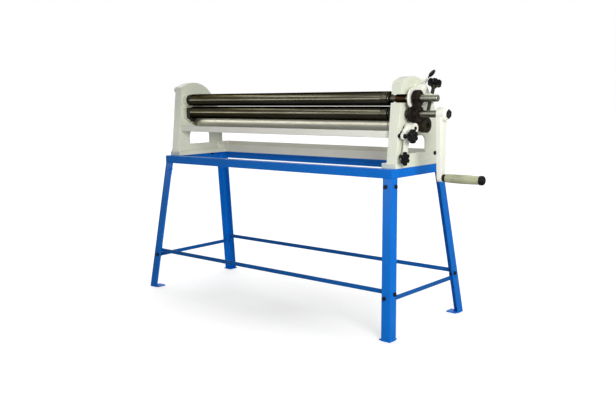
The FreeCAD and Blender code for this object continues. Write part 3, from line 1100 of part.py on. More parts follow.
# ---------------------------------------------------------------- assembly
def all_pieces():
    pieces = {}
    pieces.update(top_rails())
    pieces.update(legs_and_gussets())
    pieces.update(lower_rails())
    pieces.update({"right_housing": right_housing(), "left_housing": left_housing()})
    pieces.update(lower_blocks())
    rear_right = rear_block()
    screw = rear_screw()
    knob = rear_knob()
    pieces.update({
        "front_tie_bar": front_tie_bar(), "rear_tie_channel": rear_tie_channel(), "tie_bolts": tie_bolts(),
        "hold_down_bolts": hold_down_bolts(), "top_roll": top_roll(), "lower_roll": lower_roll(),
        "rear_roll": rear_roll(), "top_bush_right": top_bush_right(), "top_bearing_left": top_bearing_left(),
        "rear_bearing_right": rear_right, "rear_bearing_left": mirror_x(rear_right),
        "rear_screw_right": screw, "rear_screw_left": mirror_x(screw),
        "rear_knob_right": knob, "rear_knob_left": mirror_x(knob),
        "top_gear": gear(TOP_ROLL_Z, JOURNAL_RADIUS + SEAT_CLEAR, 0.5),
        "lower_gear": gear(LOWER_ROLL_Z, JOURNAL_RADIUS + SEAT_CLEAR, 0),
        "shaft_flange": shaft_flange(), "crank_arm": crank_arm(), "crank_bolt": crank_bolt(),
        "grip_spindle": grip_spindle(), "grip_cap": grip_cap(), "crank_grip": crank_grip(),
        "latch_hook": latch_hook(), "latch_handle": latch_handle(), "latch_pin": latch_pin(),
        "pinch_lever": pinch_lever(), "cam_shaft": cam_shaft(), "clamp_stud": clamp_stud(),
        "clamp_knob": clamp_knob(), "handle_knob": handle_knob(), "lever_stop_bolt": lever_stop_bolt(),
        "left_pinch_screw": left_pinch_screw()})
    return pieces


os.makedirs("parts", exist_ok=True)
for name, shape in all_pieces().items():
    shape.exportStep(os.path.join("parts", name + ".step"))
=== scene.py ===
import json
import math

import bmesh
import bpy
from mathutils import Matrix, Vector


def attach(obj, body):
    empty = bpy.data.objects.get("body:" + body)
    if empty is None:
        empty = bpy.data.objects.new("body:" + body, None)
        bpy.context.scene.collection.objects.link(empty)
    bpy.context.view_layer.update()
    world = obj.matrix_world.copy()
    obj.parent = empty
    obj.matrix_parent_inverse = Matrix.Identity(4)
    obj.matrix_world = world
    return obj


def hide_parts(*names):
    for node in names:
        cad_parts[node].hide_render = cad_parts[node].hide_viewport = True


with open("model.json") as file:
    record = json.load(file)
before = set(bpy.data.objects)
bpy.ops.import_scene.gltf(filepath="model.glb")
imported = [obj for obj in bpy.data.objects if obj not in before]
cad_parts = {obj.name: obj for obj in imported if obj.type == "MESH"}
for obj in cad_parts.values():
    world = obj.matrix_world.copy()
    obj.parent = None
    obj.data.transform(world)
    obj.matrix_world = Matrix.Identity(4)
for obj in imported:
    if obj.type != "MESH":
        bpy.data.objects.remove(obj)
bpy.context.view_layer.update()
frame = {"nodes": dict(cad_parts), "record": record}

# ---------------------------------------------------------------- top rails of the stand
# Four lengths of rolled 40 mm steel angle with mitred, welded corners. The mill leaves the edges
# soft, and the whole frame is sprayed in one gloss blue enamel after it is drilled.


def only(piece):
    """Leaves this one piece selected and active."""
    if bpy.context.object and bpy.context.object.mode == "EDIT":
        bpy.ops.object.mode_set(mode="OBJECT")
    bpy.ops.object.select_all(action="DESELECT")
    piece.select_set(True)
    bpy.context.view_layer.objects.active = piece
    return piece


def start_edit(piece, part="FACE"):
    only(piece)
    bpy.ops.object.mode_set(mode="EDIT")
    bpy.ops.mesh.select_mode(type=part)
    bpy.ops.mesh.select_all(action="DESELECT")


def end_edit():
    bpy.ops.object.mode_set(mode="OBJECT")


def pick_faces(piece, wanted):
    """Selects the faces whose centre and normal pass the test, in edit mode."""
    mesh = bmesh.from_edit_mesh(piece.data)
    bpy.ops.mesh.select_all(action="DESELECT")
    for face in mesh.faces:
        if wanted(face.calc_center_median(), face.normal):
            face.select_set(True)
    bmesh.update_edit_mesh(piece.data)


def soften(piece, width, rounds=2, corner=30):
    """Rounds every outward corner sharper than this angle, then shades the rest smooth."""
    start_edit(piece, "EDGE")
    mesh = bmesh.from_edit_mesh(piece.data)
    for edge in mesh.edges:
        if len(edge.link_faces) == 2 and edge.calc_face_angle_signed(0) > math.radians(corner):
            edge.select_set(True)
    bmesh.update_edit_mesh(piece.data)
    bpy.ops.mesh.bevel(offset=width, segments=rounds, affect="EDGES", clamp_overlap=False,
                       miter_outer="ARC")
    end_edit()
    even_shading(piece, corner)


def even_shading(piece, corner):
    """Smooth shading up to this angle, with the large flat faces kept flat."""
    only(piece)
    bpy.ops.object.mode_set(mode="EDIT")
    bpy.ops.mesh.select_all(action="SELECT")
    bpy.ops.mesh.quads_convert_to_tris(quad_method="BEAUTY", ngon_method="BEAUTY")
    bpy.ops.object.mode_set(mode="OBJECT")
    bpy.ops.object.shade_smooth_by_angle(angle=math.radians(corner))
    weigh = piece.modifiers.new("even shading", "WEIGHTED_NORMAL")
    weigh.keep_sharp = True
    bpy.ops.object.modifier_apply(modifier=weigh.name)


MERGE_WITHIN = 0.00001
FLAT_WITHIN = math.radians(0.4)


def made_from(node, name, width=None, rounds=2, corner=30):
    """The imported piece's own shape, cleaned of its loose triangles and given soft edges."""
    source = frame["nodes"][node]
    piece = bpy.data.objects.new(name, source.data.copy())
    bpy.context.scene.collection.objects.link(piece)
    start_edit(piece, "VERT")
    bpy.ops.mesh.select_all(action="SELECT")
    bpy.ops.mesh.remove_doubles(threshold=MERGE_WITHIN)
    bpy.ops.mesh.dissolve_limited(angle_limit=FLAT_WITHIN)
    end_edit()
    if width:
        soften(piece, width, rounds, corner)
    else:
        even_shading(piece, corner)
    return piece


def body_with(node):
    """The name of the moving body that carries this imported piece."""
    for body, members in frame["record"]["behaviour"]["bodies"].items():
        if node in members:
            return body
    return "root"


def settle(piece, node, finish):
    """Puts a finish on a piece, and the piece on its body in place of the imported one."""
    piece.data.materials.clear()
    piece.data.materials.append(finish)
    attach(piece, body_with(node))
    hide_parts(node)


def part_finish(piece, finish, wanted):
    """Gives a second finish to the faces whose centre and normal pass the test."""
    piece.data.materials.append(finish)
    start_edit(piece)
    pick_faces(piece, wanted)
    piece.active_material_index = len(piece.data.materials) - 1
    bpy.ops.object.material_slot_assign()
    end_edit()


def node_tool(name, inputs, outputs):
    """An empty shader group with named sockets, and its two end nodes."""
    group = bpy.data.node_groups.new(name, "ShaderNodeTree")
    for label, kind, value in inputs:
        socket = group.interface.new_socket(name=label, in_out="INPUT", socket_type=kind)
        socket.default_value = value
    for label, kind in outputs:
        group.interface.new_socket(name=label, in_out="OUTPUT", socket_type=kind)
    return group, group.nodes.new("NodeGroupInput"), group.nodes.new("NodeGroupOutput")


def add(tree, kind, **values):
    """A node with its settings, and with the inputs that are named in links joined up."""
    node = tree.nodes.new(kind)
    joins = values.pop("joins", {})
    fixed = values.pop("fixed", {})
    for key, value in values.items():
        setattr(node, key, value)
    for key, value in fixed.items():
        node.inputs[key].default_value = value
    for key, socket in joins.items():
        tree.links.new(socket, node.inputs[key])
    return node


COLOUR, NUMBER, VECTOR = "NodeSocketColor", "NodeSocketFloat", "NodeSocketVector"

# Cloudy tone: paint and metal are never one even colour, and each patch runs into the next.
cloud_tone, ends_in, ends_out = node_tool(
    "cloud_tone",
    [("Place", VECTOR, (0, 0, 0)), ("Colour", COLOUR, (1, 1, 1, 1)),
     ("Other", COLOUR, (0, 0, 0, 1)), ("Scale", NUMBER, 8.0), ("Spread", NUMBER, 0.5)],
    [("Colour", COLOUR), ("Mask", NUMBER)])
wide = add(cloud_tone, "ShaderNodeTexNoise", fixed={"Detail": 4.0, "Roughness": 0.6},
           joins={"Vector": ends_in.outputs["Place"], "Scale": ends_in.outputs["Scale"]})
even = add(cloud_tone, "ShaderNodeMapRange", fixed={"From Min": 0.32, "From Max": 0.68},
           joins={"Value": wide.outputs["Fac"]})
share = add(cloud_tone, "ShaderNodeMath", operation="MULTIPLY",
            joins={0: even.outputs["Result"], 1: ends_in.outputs["Spread"]})
blend = add(cloud_tone, "ShaderNodeMix", data_type="RGBA",
            joins={"Factor": share.outputs[0], "A": ends_in.outputs["Colour"],
                   "B": ends_in.outputs["Other"]})
cloud_tone.links.new(blend.outputs["Result"], ends_out.inputs["Colour"])
cloud_tone.links.new(share.outputs[0], ends_out.inputs["Mask"])

# Orange peel: sprayed enamel dries in low round ripples, with a little dust caught in it.
orange_peel, ends_in, ends_out = node_tool(
    "orange_peel",
    [("Place", VECTOR, (0, 0, 0)), ("Scale", NUMBER, 400.0), ("Specks", NUMBER, 0.3)],
    [("Height", NUMBER)])
ripple = add(orange_peel, "ShaderNodeTexNoise", fixed={"Detail": 1.0},
             joins={"Vector": ends_in.outputs["Place"], "Scale": ends_in.outputs["Scale"]})
dots = add(orange_peel, "ShaderNodeTexVoronoi", fixed={"Scale": 260.0},
           joins={"Vector": ends_in.outputs["Place"]})
dot_mask = add(orange_peel, "ShaderNodeMapRange", fixed={"From Min": 0.16, "From Max": 0.05},
               joins={"Value": dots.outputs["Distance"]})
dot_height = add(orange_peel, "ShaderNodeMath", operation="MULTIPLY",
                 joins={0: dot_mask.outputs["Result"], 1: ends_in.outputs["Specks"]})
whole = add(orange_peel, "ShaderNodeMath", operation="ADD",
            joins={0: ripple.outputs["Fac"], 1: dot_height.outputs[0]})
orange_peel.links.new(whole.outputs[0], ends_out.inputs["Height"])

# Rub marks: faint short scuffs where hands, rags and sheet edges have passed.
rub_marks, ends_in, ends_out = node_tool(
    "rub_marks",
    [("Place", VECTOR, (0, 0, 0)), ("Scale", NUMBER, 14.0), ("Amount", NUMBER, 0.4)],
    [("Mask", NUMBER)])
stretch = add(rub_marks, "ShaderNodeMapping",
              fixed={"Rotation": (0.4, 0.7, 0.3), "Scale": (1.0, 9.0, 3.0)},
              joins={"Vector": ends_in.outputs["Place"]})
streaks = add(rub_marks, "ShaderNodeTexNoise", fixed={"Detail": 7.0, "Roughness": 0.7},
              joins={"Vector": stretch.outputs["Vector"], "Scale": ends_in.outputs["Scale"]})
sharp = add(rub_marks, "ShaderNodeMapRange", fixed={"From Min": 0.58, "From Max": 0.74},
            joins={"Value": streaks.outputs["Fac"]})
scaled = add(rub_marks, "ShaderNodeMath", operation="MULTIPLY",
             joins={0: sharp.outputs["Result"], 1: ends_in.outputs["Amount"]})
rub_marks.links.new(scaled.outputs[0], ends_out.inputs["Mask"])


def finish(name):
    """A new material with its shader and the object's own coordinates."""
    material = bpy.data.materials.new(name)
    material.use_nodes = True
    tree = material.node_tree
    shader = tree.nodes["Principled BSDF"]
    place = add(tree, "ShaderNodeTexCoord").outputs["Object"]
    return material, tree, shader, place


def effect(tree, group, place, **values):
    """One of the shared effects, set for this material."""
    node = add(tree, "ShaderNodeGroup", node_tree=group)
    tree.links.new(place, node.inputs["Place"])
    for key, value in values.items():
        if isinstance(value, bpy.types.NodeSocket):
            tree.links.new(value, node.inputs[key])
        else:
            node.inputs[key].default_value = value
    return node


def spread(tree, mask, low, high):
    """A number that follows a mask between two values."""
    return add(tree, "ShaderNodeMapRange", fixed={"To Min": low, "To Max": high},
               joins={"Value": mask}).outputs["Result"]


def relief(tree, shader, height, depth):
    bump = add(tree, "ShaderNodeBump", fixed={"Distance": depth}, joins={"Height": height})
    tree.links.new(bump.outputs["Normal"], shader.inputs["Normal"])


def gloss_enamel(name, colour, other, roughness, peel=380.0):
    """Sprayed enamel over steel: cloudy tone, orange peel, and scuffs that dull it a little."""
    material, tree, shader, place = finish(name)
    tone = effect(tree, cloud_tone, place, Colour=colour, Other=other, Scale=5.0, Spread=0.55)
    marks = effect(tree, rub_marks, place, Scale=16.0, Amount=0.5)
    skin = effect(tree, orange_peel, place, Scale=peel, Specks=0.25)
    faded = add(tree, "ShaderNodeMix", data_type="RGBA",
                fixed={"B": (other[0] + 0.01, other[1] + 0.06, other[2] + 0.06, 1)},
                joins={"A": tone.outputs["Colour"],
                       "Factor": spread(tree, marks.outputs["Mask"], 0.0, 0.22)})
    tree.links.new(faded.outputs["Result"], shader.inputs["Base Color"])
    tree.links.new(spread(tree, marks.outputs["Mask"], roughness, roughness + 0.22),
                   shader.inputs["Roughness"])
    relief(tree, shader, skin.outputs["Height"], 0.00008)
    shader.inputs["Specular IOR Level"].default_value = 0.10
    shader.inputs["Coat Weight"].default_value = 0.02
    shader.inputs["Coat Roughness"].default_value = 0.12
    return material


blue_enamel = gloss_enamel("blue_enamel", (0.002, 0.185, 0.720, 1), (0.001, 0.140, 0.580, 1), 0.30)
SIDES = ("front", "rear", "left", "right")
RAIL_EDGE = 0.0012

for side in SIDES:
    rail = made_from(side + "_top_rail", side + "_angle_rail", RAIL_EDGE)
    settle(rail, side + "_top_rail", blue_enamel)

# ---------------------------------------------------------------- legs and gussets
# Each leg is a length of 46 mm angle that splays out both ways. An inner angle of the same steel is
# bolted behind it at the top, and a short one at the bottom carries the thin lower rails.

LEG_EDGE = 0.0013
PLATE_EDGE = 0.0010
THIN_RAIL_EDGE = 0.0008

for corner in ("front_left", "front_right", "rear_left", "rear_right"):
    leg = made_from("leg_" + corner, corner + "_leg", LEG_EDGE)
    settle(leg, "leg_" + corner, blue_enamel)

for level in ("upper", "lower"):
    gussets = made_from(level + "_gussets", level + "_corner_angles", PLATE_EDGE)
    settle(gussets, level + "_gussets", blue_enamel)

feet = made_from("foot_plates", "feet", PLATE_EDGE)
settle(feet, "foot_plates", blue_enamel)

# The thin lower rails get a darker copy of the stand's blue enamel: a painted shade.
shaded_rail_enamel = gloss_enamel("shaded_blue_enamel", (0.003, 0.120, 0.450, 1), (0.002, 0.085, 0.330, 1),
                           0.32)
for side in SIDES:
    bar = made_from(side + "_lower_rail", side + "_stretcher", THIN_RAIL_EDGE)
    settle(bar, side + "_lower_rail", shaded_rail_enamel)

# ---------------------------------------------------------------- end housings
# Two grey-iron castings, each a thick domed rim round a thin web, with an arched window and a base
# flange. The foundry leaves every edge soft, and they are painted cream over the cast grain.

# Cast grain: sand leaves a fine tooth all over, with wider swells under the paint.
cast_grain, ends_in, ends_out = node_tool(
    "cast_grain",
    [("Place", VECTOR, (0, 0, 0)), ("Grain", NUMBER, 320.0), ("Swell", NUMBER, 26.0)],
    [("Height", NUMBER), ("Mask", NUMBER)])
fine = add(cast_grain, "ShaderNodeTexNoise", fixed={"Detail": 3.0, "Roughness": 0.55},
           joins={"Vector": ends_in.outputs["Place"], "Scale": ends_in.outputs["Grain"]})
broad = add(cast_grain, "ShaderNodeTexNoise", fixed={"Detail": 2.0},
            joins={"Vector": ends_in.outputs["Place"], "Scale": ends_in.outputs["Swell"]})
lift = add(cast_grain, "ShaderNodeMath", operation="MULTIPLY", fixed={1: 2.2},
           joins={0: broad.outputs["Fac"]})
total = add(cast_grain, "ShaderNodeMath", operation="ADD",
            joins={0: fine.outputs["Fac"], 1: lift.outputs[0]})
cast_grain.links.new(total.outputs[0], ends_out.inputs["Height"])
cast_grain.links.new(broad.outputs["Fac"], ends_out.inputs["Mask"])


def casting_paint(name, colour, other, stain, roughness):
    """Satin paint over a casting, with the grain showing through and oily dirt in faint patches."""
    material, tree, shader, place = finish(name)
    tone = effect(tree, cloud_tone, place, Colour=colour, Other=other, Scale=7.0, Spread=0.8)
    grain = effect(tree, cast_grain, place)
    marks = effect(tree, rub_marks, place, Scale=9.0, Amount=0.6)
    dirty = add(tree, "ShaderNodeMix", data_type="RGBA", fixed={"B": stain},
                joins={"A": tone.outputs["Colour"],
                       "Factor": spread(tree, marks.outputs["Mask"], 0.0, 0.28)})
    tree.links.new(dirty.outputs["Result"], shader.inputs["Base Color"])
    tree.links.new(spread(tree, grain.outputs["Mask"], roughness - 0.06, roughness + 0.10),
                   shader.inputs["Roughness"])
    relief(tree, shader, grain.outputs["Height"], 0.00022)
    shader.inputs["Coat Weight"].default_value = 0.12
    shader.inputs["Coat Roughness"].default_value = 0.2
    return material


cream_casting = casting_paint("cream_casting", (0.80, 0.82, 0.68, 1), (0.72, 0.76, 0.62, 1),
                              (0.46, 0.44, 0.33, 1), 0.42)

HOUSING_EDGE = 0.0011
for side in ("left", "right"):
    housing = made_from(side + "_housing", side + "_end_casting", HOUSING_EDGE, 3)
    settle(housing, side + "_housing", cream_casting)

# ---------------------------------------------------------------- tie bar and rear channel
# A drawn square bar joins the castings in front, and a folded channel joins them behind. Both are
# bolted through the castings' rims, and painted with them.

pale_paint = casting_paint("pale_tie_paint", (0.92, 0.91, 0.82, 1), (0.86, 0.84, 0.74, 1),
                           (0.52, 0.47, 0.36, 1), 0.36)
tie = made_from("front_tie_bar", "front_tie", PLATE_EDGE)
settle(tie, "front_tie_bar", pale_paint)

channel = made_from("rear_tie_channel", "rear_channel", RAIL_EDGE)
settle(channel, "rear_tie_channel", pale_paint)

# ---------------------------------------------------------------- forming rolls
# Three solid steel rolls, turned and ground between centres, each with wire grooves at the crank
# end. The two in front are oiled and have browned with use. The rear one is drier and brighter.

# Lathe lines: fine rings round the rolls' length, deeper here and there.
lathe_lines, ends_in, ends_out = node_tool(
    "lathe_lines",
    [("Place", VECTOR, (0, 0, 0)), ("Pitch", NUMBER, 900.0)],
    [("Height", NUMBER), ("Mask", NUMBER)])
long_way = add(lathe_lines, "ShaderNodeMapping", fixed={"Scale": (1.0, 0.012, 0.012)},
               joins={"Vector": ends_in.outputs["Place"]})
rings = add(lathe_lines, "ShaderNodeTexNoise", fixed={"Detail": 3.0, "Roughness": 0.7},
            joins={"Vector": long_way.outputs["Vector"], "Scale": ends_in.outputs["Pitch"]})
bands = add(lathe_lines, "ShaderNodeTexNoise", fixed={"Scale": 45.0, "Detail": 3.0},
            joins={"Vector": long_way.outputs["Vector"]})
lathe_lines.links.new(rings.outputs["Fac"], ends_out.inputs["Height"])
lathe_lines.links.new(bands.outputs["Fac"], ends_out.inputs["Mask"])

# Oil film: a thin brown film, wiped on along the length, thicker in long smears.
oil_film, ends_in, ends_out = node_tool(
    "oil_film",
    [("Place", VECTOR, (0, 0, 0)), ("Scale", NUMBER, 9.0), ("Amount", NUMBER, 0.6)],
    [("Mask", NUMBER)])
wiped = add(oil_film, "ShaderNodeMapping", fixed={"Scale": (0.25, 2.0, 2.0)},
            joins={"Vector": ends_in.outputs["Place"]})
smear = add(oil_film, "ShaderNodeTexNoise",
            fixed={"Detail": 5.0, "Roughness": 0.62, "Distortion": 0.6},
            joins={"Vector": wiped.outputs["Vector"], "Scale": ends_in.outputs["Scale"]})
thick = add(oil_film, "ShaderNodeMapRange", fixed={"From Min": 0.38, "From Max": 0.66},
            joins={"Value": smear.outputs["Fac"]})
held = add(oil_film, "ShaderNodeMath", operation="MULTIPLY",
           joins={0: thick.outputs["Result"], 1: ends_in.outputs["Amount"]})
oil_film.links.new(held.outputs[0], ends_out.inputs["Mask"])


def turned_steel(name, clean, film, roughness, oil, pitch=900.0, rim=1.0):
    """Bare turned steel under a film of oil; rim dims what it mirrors at a glancing angle."""
    material, tree, shader, place = finish(name)
    lines = effect(tree, lathe_lines, place, Pitch=pitch)
    smears = effect(tree, oil_film, place, Amount=oil)
    shade = effect(tree, cloud_tone, place, Colour=clean, Scale=30.0, Spread=0.35,
                   Other=(clean[0] * 0.7, clean[1] * 0.7, clean[2] * 0.7, 1))
    coated = add(tree, "ShaderNodeMix", data_type="RGBA", fixed={"B": film},
                 joins={"A": shade.outputs["Colour"], "Factor": smears.outputs["Mask"]})
    tree.links.new(coated.outputs["Result"], shader.inputs["Base Color"])
    shader.inputs["Metallic"].default_value = 1.0
    shader.inputs["Specular Tint"].default_value = (rim, rim, rim * 0.9, 1)
    tree.links.new(spread(tree, lines.outputs["Mask"], roughness - 0.08, roughness + 0.10),
                   shader.inputs["Roughness"])
    relief(tree, shader, lines.outputs["Height"], 0.00003)
    return material


oiled_roll = turned_steel("oiled_roll_steel", (0.066, 0.063, 0.046, 1), (0.035, 0.031, 0.019, 1),
                          0.18, 0.85, rim=0.12)
satin_roll = turned_steel("satin_roll_steel", (0.54, 0.53, 0.44, 1), (0.42, 0.40, 0.31, 1),
                          0.50, 0.6, rim=0.5)
shaft_steel = turned_steel("shaft_steel", (0.42, 0.40, 0.36, 1), (0.20, 0.17, 0.12, 1),
                           0.30, 0.6, 1400.0)
drive_shaft_steel = turned_steel("drive_shaft_steel", (0.22, 0.22, 0.18, 1),
                                 (0.085, 0.082, 0.055, 1), 0.30, 0.9, 420.0)
JOURNAL_X = 0.70        # the rear roll is oily past here, at both ends
DRIVE_SHAFT_X = 0.7465  # the drive ends of the front rolls start here

for node, steel, slot in (("top_roll", oiled_roll, "oiled_steel"),
                          ("lower_roll", oiled_roll, "oiled_steel"),
                          ("rear_roll", satin_roll, "satin_steel")):
    roll = made_from(node, node + "_turned", None, corner=25)
    settle(roll, node, steel)
    if node == "rear_roll":
        part_finish(roll, oiled_roll, lambda centre, normal: abs(centre.x) > JOURNAL_X)
    else:
        part_finish(roll, drive_shaft_steel, lambda centre, normal: centre.x > DRIVE_SHAFT_X)

# ---------------------------------------------------------------- bearings and slides
# Cast-iron blocks, blackened and oily, that carry the rolls' journals. The lower pair slides in the
# castings' slots, and the rear pair hangs from its slanted screws.


def black_iron(name, colour, other, roughness):
    """Blackened iron: dark, with oily and dry patches."""
    material, tree, shader, place = finish(name)
    tone = effect(tree, cloud_tone, place, Colour=colour, Other=other, Scale=40.0, Spread=0.9)
    grain = effect(tree, cast_grain, place, Grain=500.0, Swell=60.0)
    wet = effect(tree, oil_film, place, Scale=30.0, Amount=1.0)
    tree.links.new(tone.outputs["Colour"], shader.inputs["Base Color"])
    tree.links.new(spread(tree, wet.outputs["Mask"], roughness + 0.15, roughness - 0.10),
                   shader.inputs["Roughness"])
    shader.inputs["Specular IOR Level"].default_value = 0.08
    relief(tree, shader, grain.outputs["Height"], 0.00012)
    return material


dark_iron = black_iron("dark_iron", (0.008, 0.006, 0.004, 1), (0.022, 0.016, 0.011, 1), 0.36)
browned_iron = black_iron("browned_iron", (0.034, 0.028, 0.016, 1), (0.016, 0.011, 0.007, 1), 0.34)
dry_iron = black_iron("dry_bearing_iron", (0.40, 0.38, 0.24, 1), (0.20, 0.18, 0.10, 1), 0.48)
# The bush's bronze is made near black: partly oily bronze and partly a painted shade for the slot
# it sits in.
shaded_bearing_bronze = turned_steel("shaded_bearing_bronze", (0.034, 0.018, 0.008, 1), (0.014, 0.008, 0.004, 1),
                              0.40, 0.8, 700.0, rim=0.3)
SLIDE_X = -0.745        # the left rear block's slide is dry inboard of here
PAINT_LINE_X = -0.668   # the left front blocks are painted outboard of here


def split_at(piece, x):
    """Cuts a line of edges right round a piece, so that a finish can change there."""
    start_edit(piece)
    bpy.ops.mesh.select_all(action="SELECT")
    bpy.ops.mesh.bisect(plane_co=(x, 0, 0), plane_no=(1, 0, 0))
    end_edit()


for node, iron, edge in (("lower_bearing_right", dark_iron, 0.0010),
                         ("shaft_flange", dark_iron, 0.0006),
                         ("rear_bearing_right", browned_iron, 0.0006),
                         ("rear_bearing_left", browned_iron, 0.0006)):
    block = made_from(node, node + "_iron", edge)
    if node == "rear_bearing_left":
        split_at(block, SLIDE_X)
    settle(block, node, iron)
    if node == "rear_bearing_left":
        part_finish(block, dry_iron, lambda centre, normal: centre.x > SLIDE_X)

# The two left blocks are bare only at the roll's end, and painted with the casting behind that.
for node in ("top_bearing_left", "lower_bearing_left"):
    block = made_from(node, node + "_iron", 0.0008)
    split_at(block, PAINT_LINE_X)
    settle(block, node, dark_iron)
    part_finish(block, cream_casting, lambda centre, normal: centre.x < PAINT_LINE_X)

# The bush wears the near-black bronze, partly a painted shade in its slot.
bush = made_from("top_bush_right", "top_bush", 0.0006)
settle(bush, "top_bush_right", shaded_bearing_bronze)

# ---------------------------------------------------------------- gears
# Two equal spur gears, cut from steel blanks and fitted on the front rolls' journals, so that the
# rolls turn together. Grease and dust have turned them nearly black.

gear_steel = black_iron("greased_gear_steel", (0.008, 0.005, 0.004, 1), (0.030, 0.021, 0.015, 1),
                        0.32)
for node in ("top_gear", "lower_gear"):
    wheel = made_from(node, node + "_cut", 0.0004, 1)
    settle(wheel, node, gear_steel)

# ---------------------------------------------------------------- release latch
# A white cast hook drops over the top roll's shaft and holds it. It swings on a headed pin, by an
# oval black handle screwed to its arm.

white_casting = casting_paint("white_casting", (0.90, 0.90, 0.80, 1), (0.83, 0.84, 0.73, 1),
                              (0.45, 0.42, 0.33, 1), 0.40)
hook = made_from("latch_hook", "latch_casting", 0.0014, 3)
settle(hook, "latch_hook", white_casting)

pin = made_from("latch_pin", "latch_pivot", 0.0006)
settle(pin, "latch_pin", white_casting)


def moulded(name, colour, roughness):
    """Moulded plastic: glossy, with a faint flow texture and finger dulling."""
    material, tree, shader, place = finish(name)
    paler = tuple(part * 1.7 + 0.004 for part in colour[:3]) + (1,)
    tone = effect(tree, cloud_tone, place, Colour=colour, Other=paler, Scale=25.0, Spread=0.6)
    marks = effect(tree, rub_marks, place, Scale=30.0, Amount=0.8)
    skin = effect(tree, orange_peel, place, Scale=700.0, Specks=0.0)
    tree.links.new(tone.outputs["Colour"], shader.inputs["Base Color"])
    tree.links.new(spread(tree, marks.outputs["Mask"], roughness, roughness + 0.25),
                   shader.inputs["Roughness"])
    relief(tree, shader, skin.outputs["Height"], 0.00004)
    return material


black_plastic = moulded("black_plastic", (0.004, 0.004, 0.004, 1), 0.22)
black_plastic.node_tree.nodes["Principled BSDF"].inputs["Specular IOR Level"].default_value = 0.08
handle = made_from("latch_handle", "latch_oval_handle", None)
settle(handle, "latch_handle", black_plastic)

# ---------------------------------------------------------------- pinch lever and its shaft
# A white cast lever keyed to the cam shaft under the lower roll. Its curved slot slides round the
# clamp stud, which a star knob locks.

lever = made_from("pinch_lever", "pinch_lever_casting", 0.0011, 3)
settle(lever, "pinch_lever", white_casting)
STUD_HEAD_X = 0.7625    # the clamp stud's head, behind the lever, is black
for node, iron in (("cam_shaft", dark_iron), ("clamp_stud", shaft_steel),
                   ("left_pinch_screw", shaft_steel)):
    turned = made_from(node, node + "_turned", 0.0006)
    settle(turned, node, iron)
    if node == "clamp_stud":
        part_finish(turned, black_plastic, lambda centre, normal: centre.x < STUD_HEAD_X)

# ---------------------------------------------------------------- adjusting screws and star knobs
# The rear roll's two slanted screws, and the six-lobed black knobs that turn them. The same knob in
# two thicknesses locks the pinch lever.

# Screw thread: close round ridges square to the rod.
screw_thread, ends_in, ends_out = node_tool(
    "screw_thread",
    [("Place", VECTOR, (0, 0, 0)), ("Lean", VECTOR, (0, 0, 0)), ("Turns", NUMBER, 125.0)],
    [("Height", NUMBER)])
upended = add(screw_thread, "ShaderNodeMapping",
              joins={"Vector": ends_in.outputs["Place"], "Rotation": ends_in.outputs["Lean"]})
ridges = add(screw_thread, "ShaderNodeTexWave", bands_direction="Z",
             joins={"Vector": upended.outputs["Vector"], "Scale": ends_in.outputs["Turns"]})
screw_thread.links.new(ridges.outputs["Fac"], ends_out.inputs["Height"])

threaded_rod, tree, shader, place = finish("threaded_rod")
SCREW_LEAN = math.radians(23.6)
turns = effect(tree, screw_thread, place, Lean=(SCREW_LEAN, 0, 0), Turns=125.0)
tone = effect(tree, cloud_tone, place, Colour=(0.085, 0.090, 0.070, 1),
              Other=(0.035, 0.034, 0.024, 1), Scale=60.0, Spread=0.9)
tree.links.new(tone.outputs["Colour"], shader.inputs["Base Color"])
tree.links.new(spread(tree, turns.outputs["Height"], 0.48, 0.30), shader.inputs["Roughness"])
shader.inputs["Metallic"].default_value = 0.9
relief(tree, shader, turns.outputs["Height"], 0.0008)

KNOB_EDGE = 0.0007
for side in ("left", "right"):
    screw = made_from("rear_screw_" + side, side + "_adjusting_screw", 0.0006)
    settle(screw, "rear_screw_" + side, threaded_rod)
    knob = made_from("rear_knob_" + side, side + "_star_knob", KNOB_EDGE, 3)
    settle(knob, "rear_knob_" + side, black_plastic)
for node in ("clamp_knob", "handle_knob"):
    knob = made_from(node, node + "_star", KNOB_EDGE, 3)
    settle(knob, node, black_plastic)

# ---------------------------------------------------------------- bolts
# Black-oxide hexagon bolts hold the legs, the castings and the ties. Some were fitted before the
# paint: the ties' shanks are cream, and most heads on the left legs are blue.

black_oxide = black_iron("black_oxide", (0.006, 0.006, 0.006, 1), (0.018, 0.017, 0.016, 1), 0.34)
TIE_FACE_X = 0.6955     # the tie bolts are painted inboard of the castings' inner faces
painted = {
    "tie_bolts": (cream_casting, lambda centre, normal: abs(centre.x) < TIE_FACE_X),
    "upper_leg_bolts": (blue_enamel, lambda centre, normal: centre.x < 0),
    "lower_leg_bolts": (blue_enamel, lambda centre, normal: centre.x < 0 < centre.y),
}
for node in ("upper_leg_bolts", "lower_leg_bolts", "tie_bolts", "hold_down_bolts",
             "lever_stop_bolt"):
    bolts = made_from(node, node + "_black", 0.0006)
    settle(bolts, node, black_oxide)
    if node in painted:
        part_finish(bolts, *painted[node])


def blank(name, sides, radius, depth, place, lying=False):
    """A round or six-sided blank, upright or lying along the rolls, left in edit mode."""
    bpy.ops.object.select_all(action="DESELECT")
    bpy.ops.mesh.primitive_cylinder_add(vertices=sides, radius=radius, depth=depth, location=place,
                                        rotation=(0, math.radians(90) if lying else 0, 0))
    piece = bpy.context.object
    piece.name = name
    bpy.ops.object.transform_apply(location=True, rotation=True, scale=True)
    start_edit(piece)
    return piece


def step_in(thickness, rise):
    """Insets the picked faces, then lifts what they enclose."""
    bpy.ops.mesh.inset(thickness=thickness, depth=0.0)
    bpy.ops.transform.translate(value=rise)


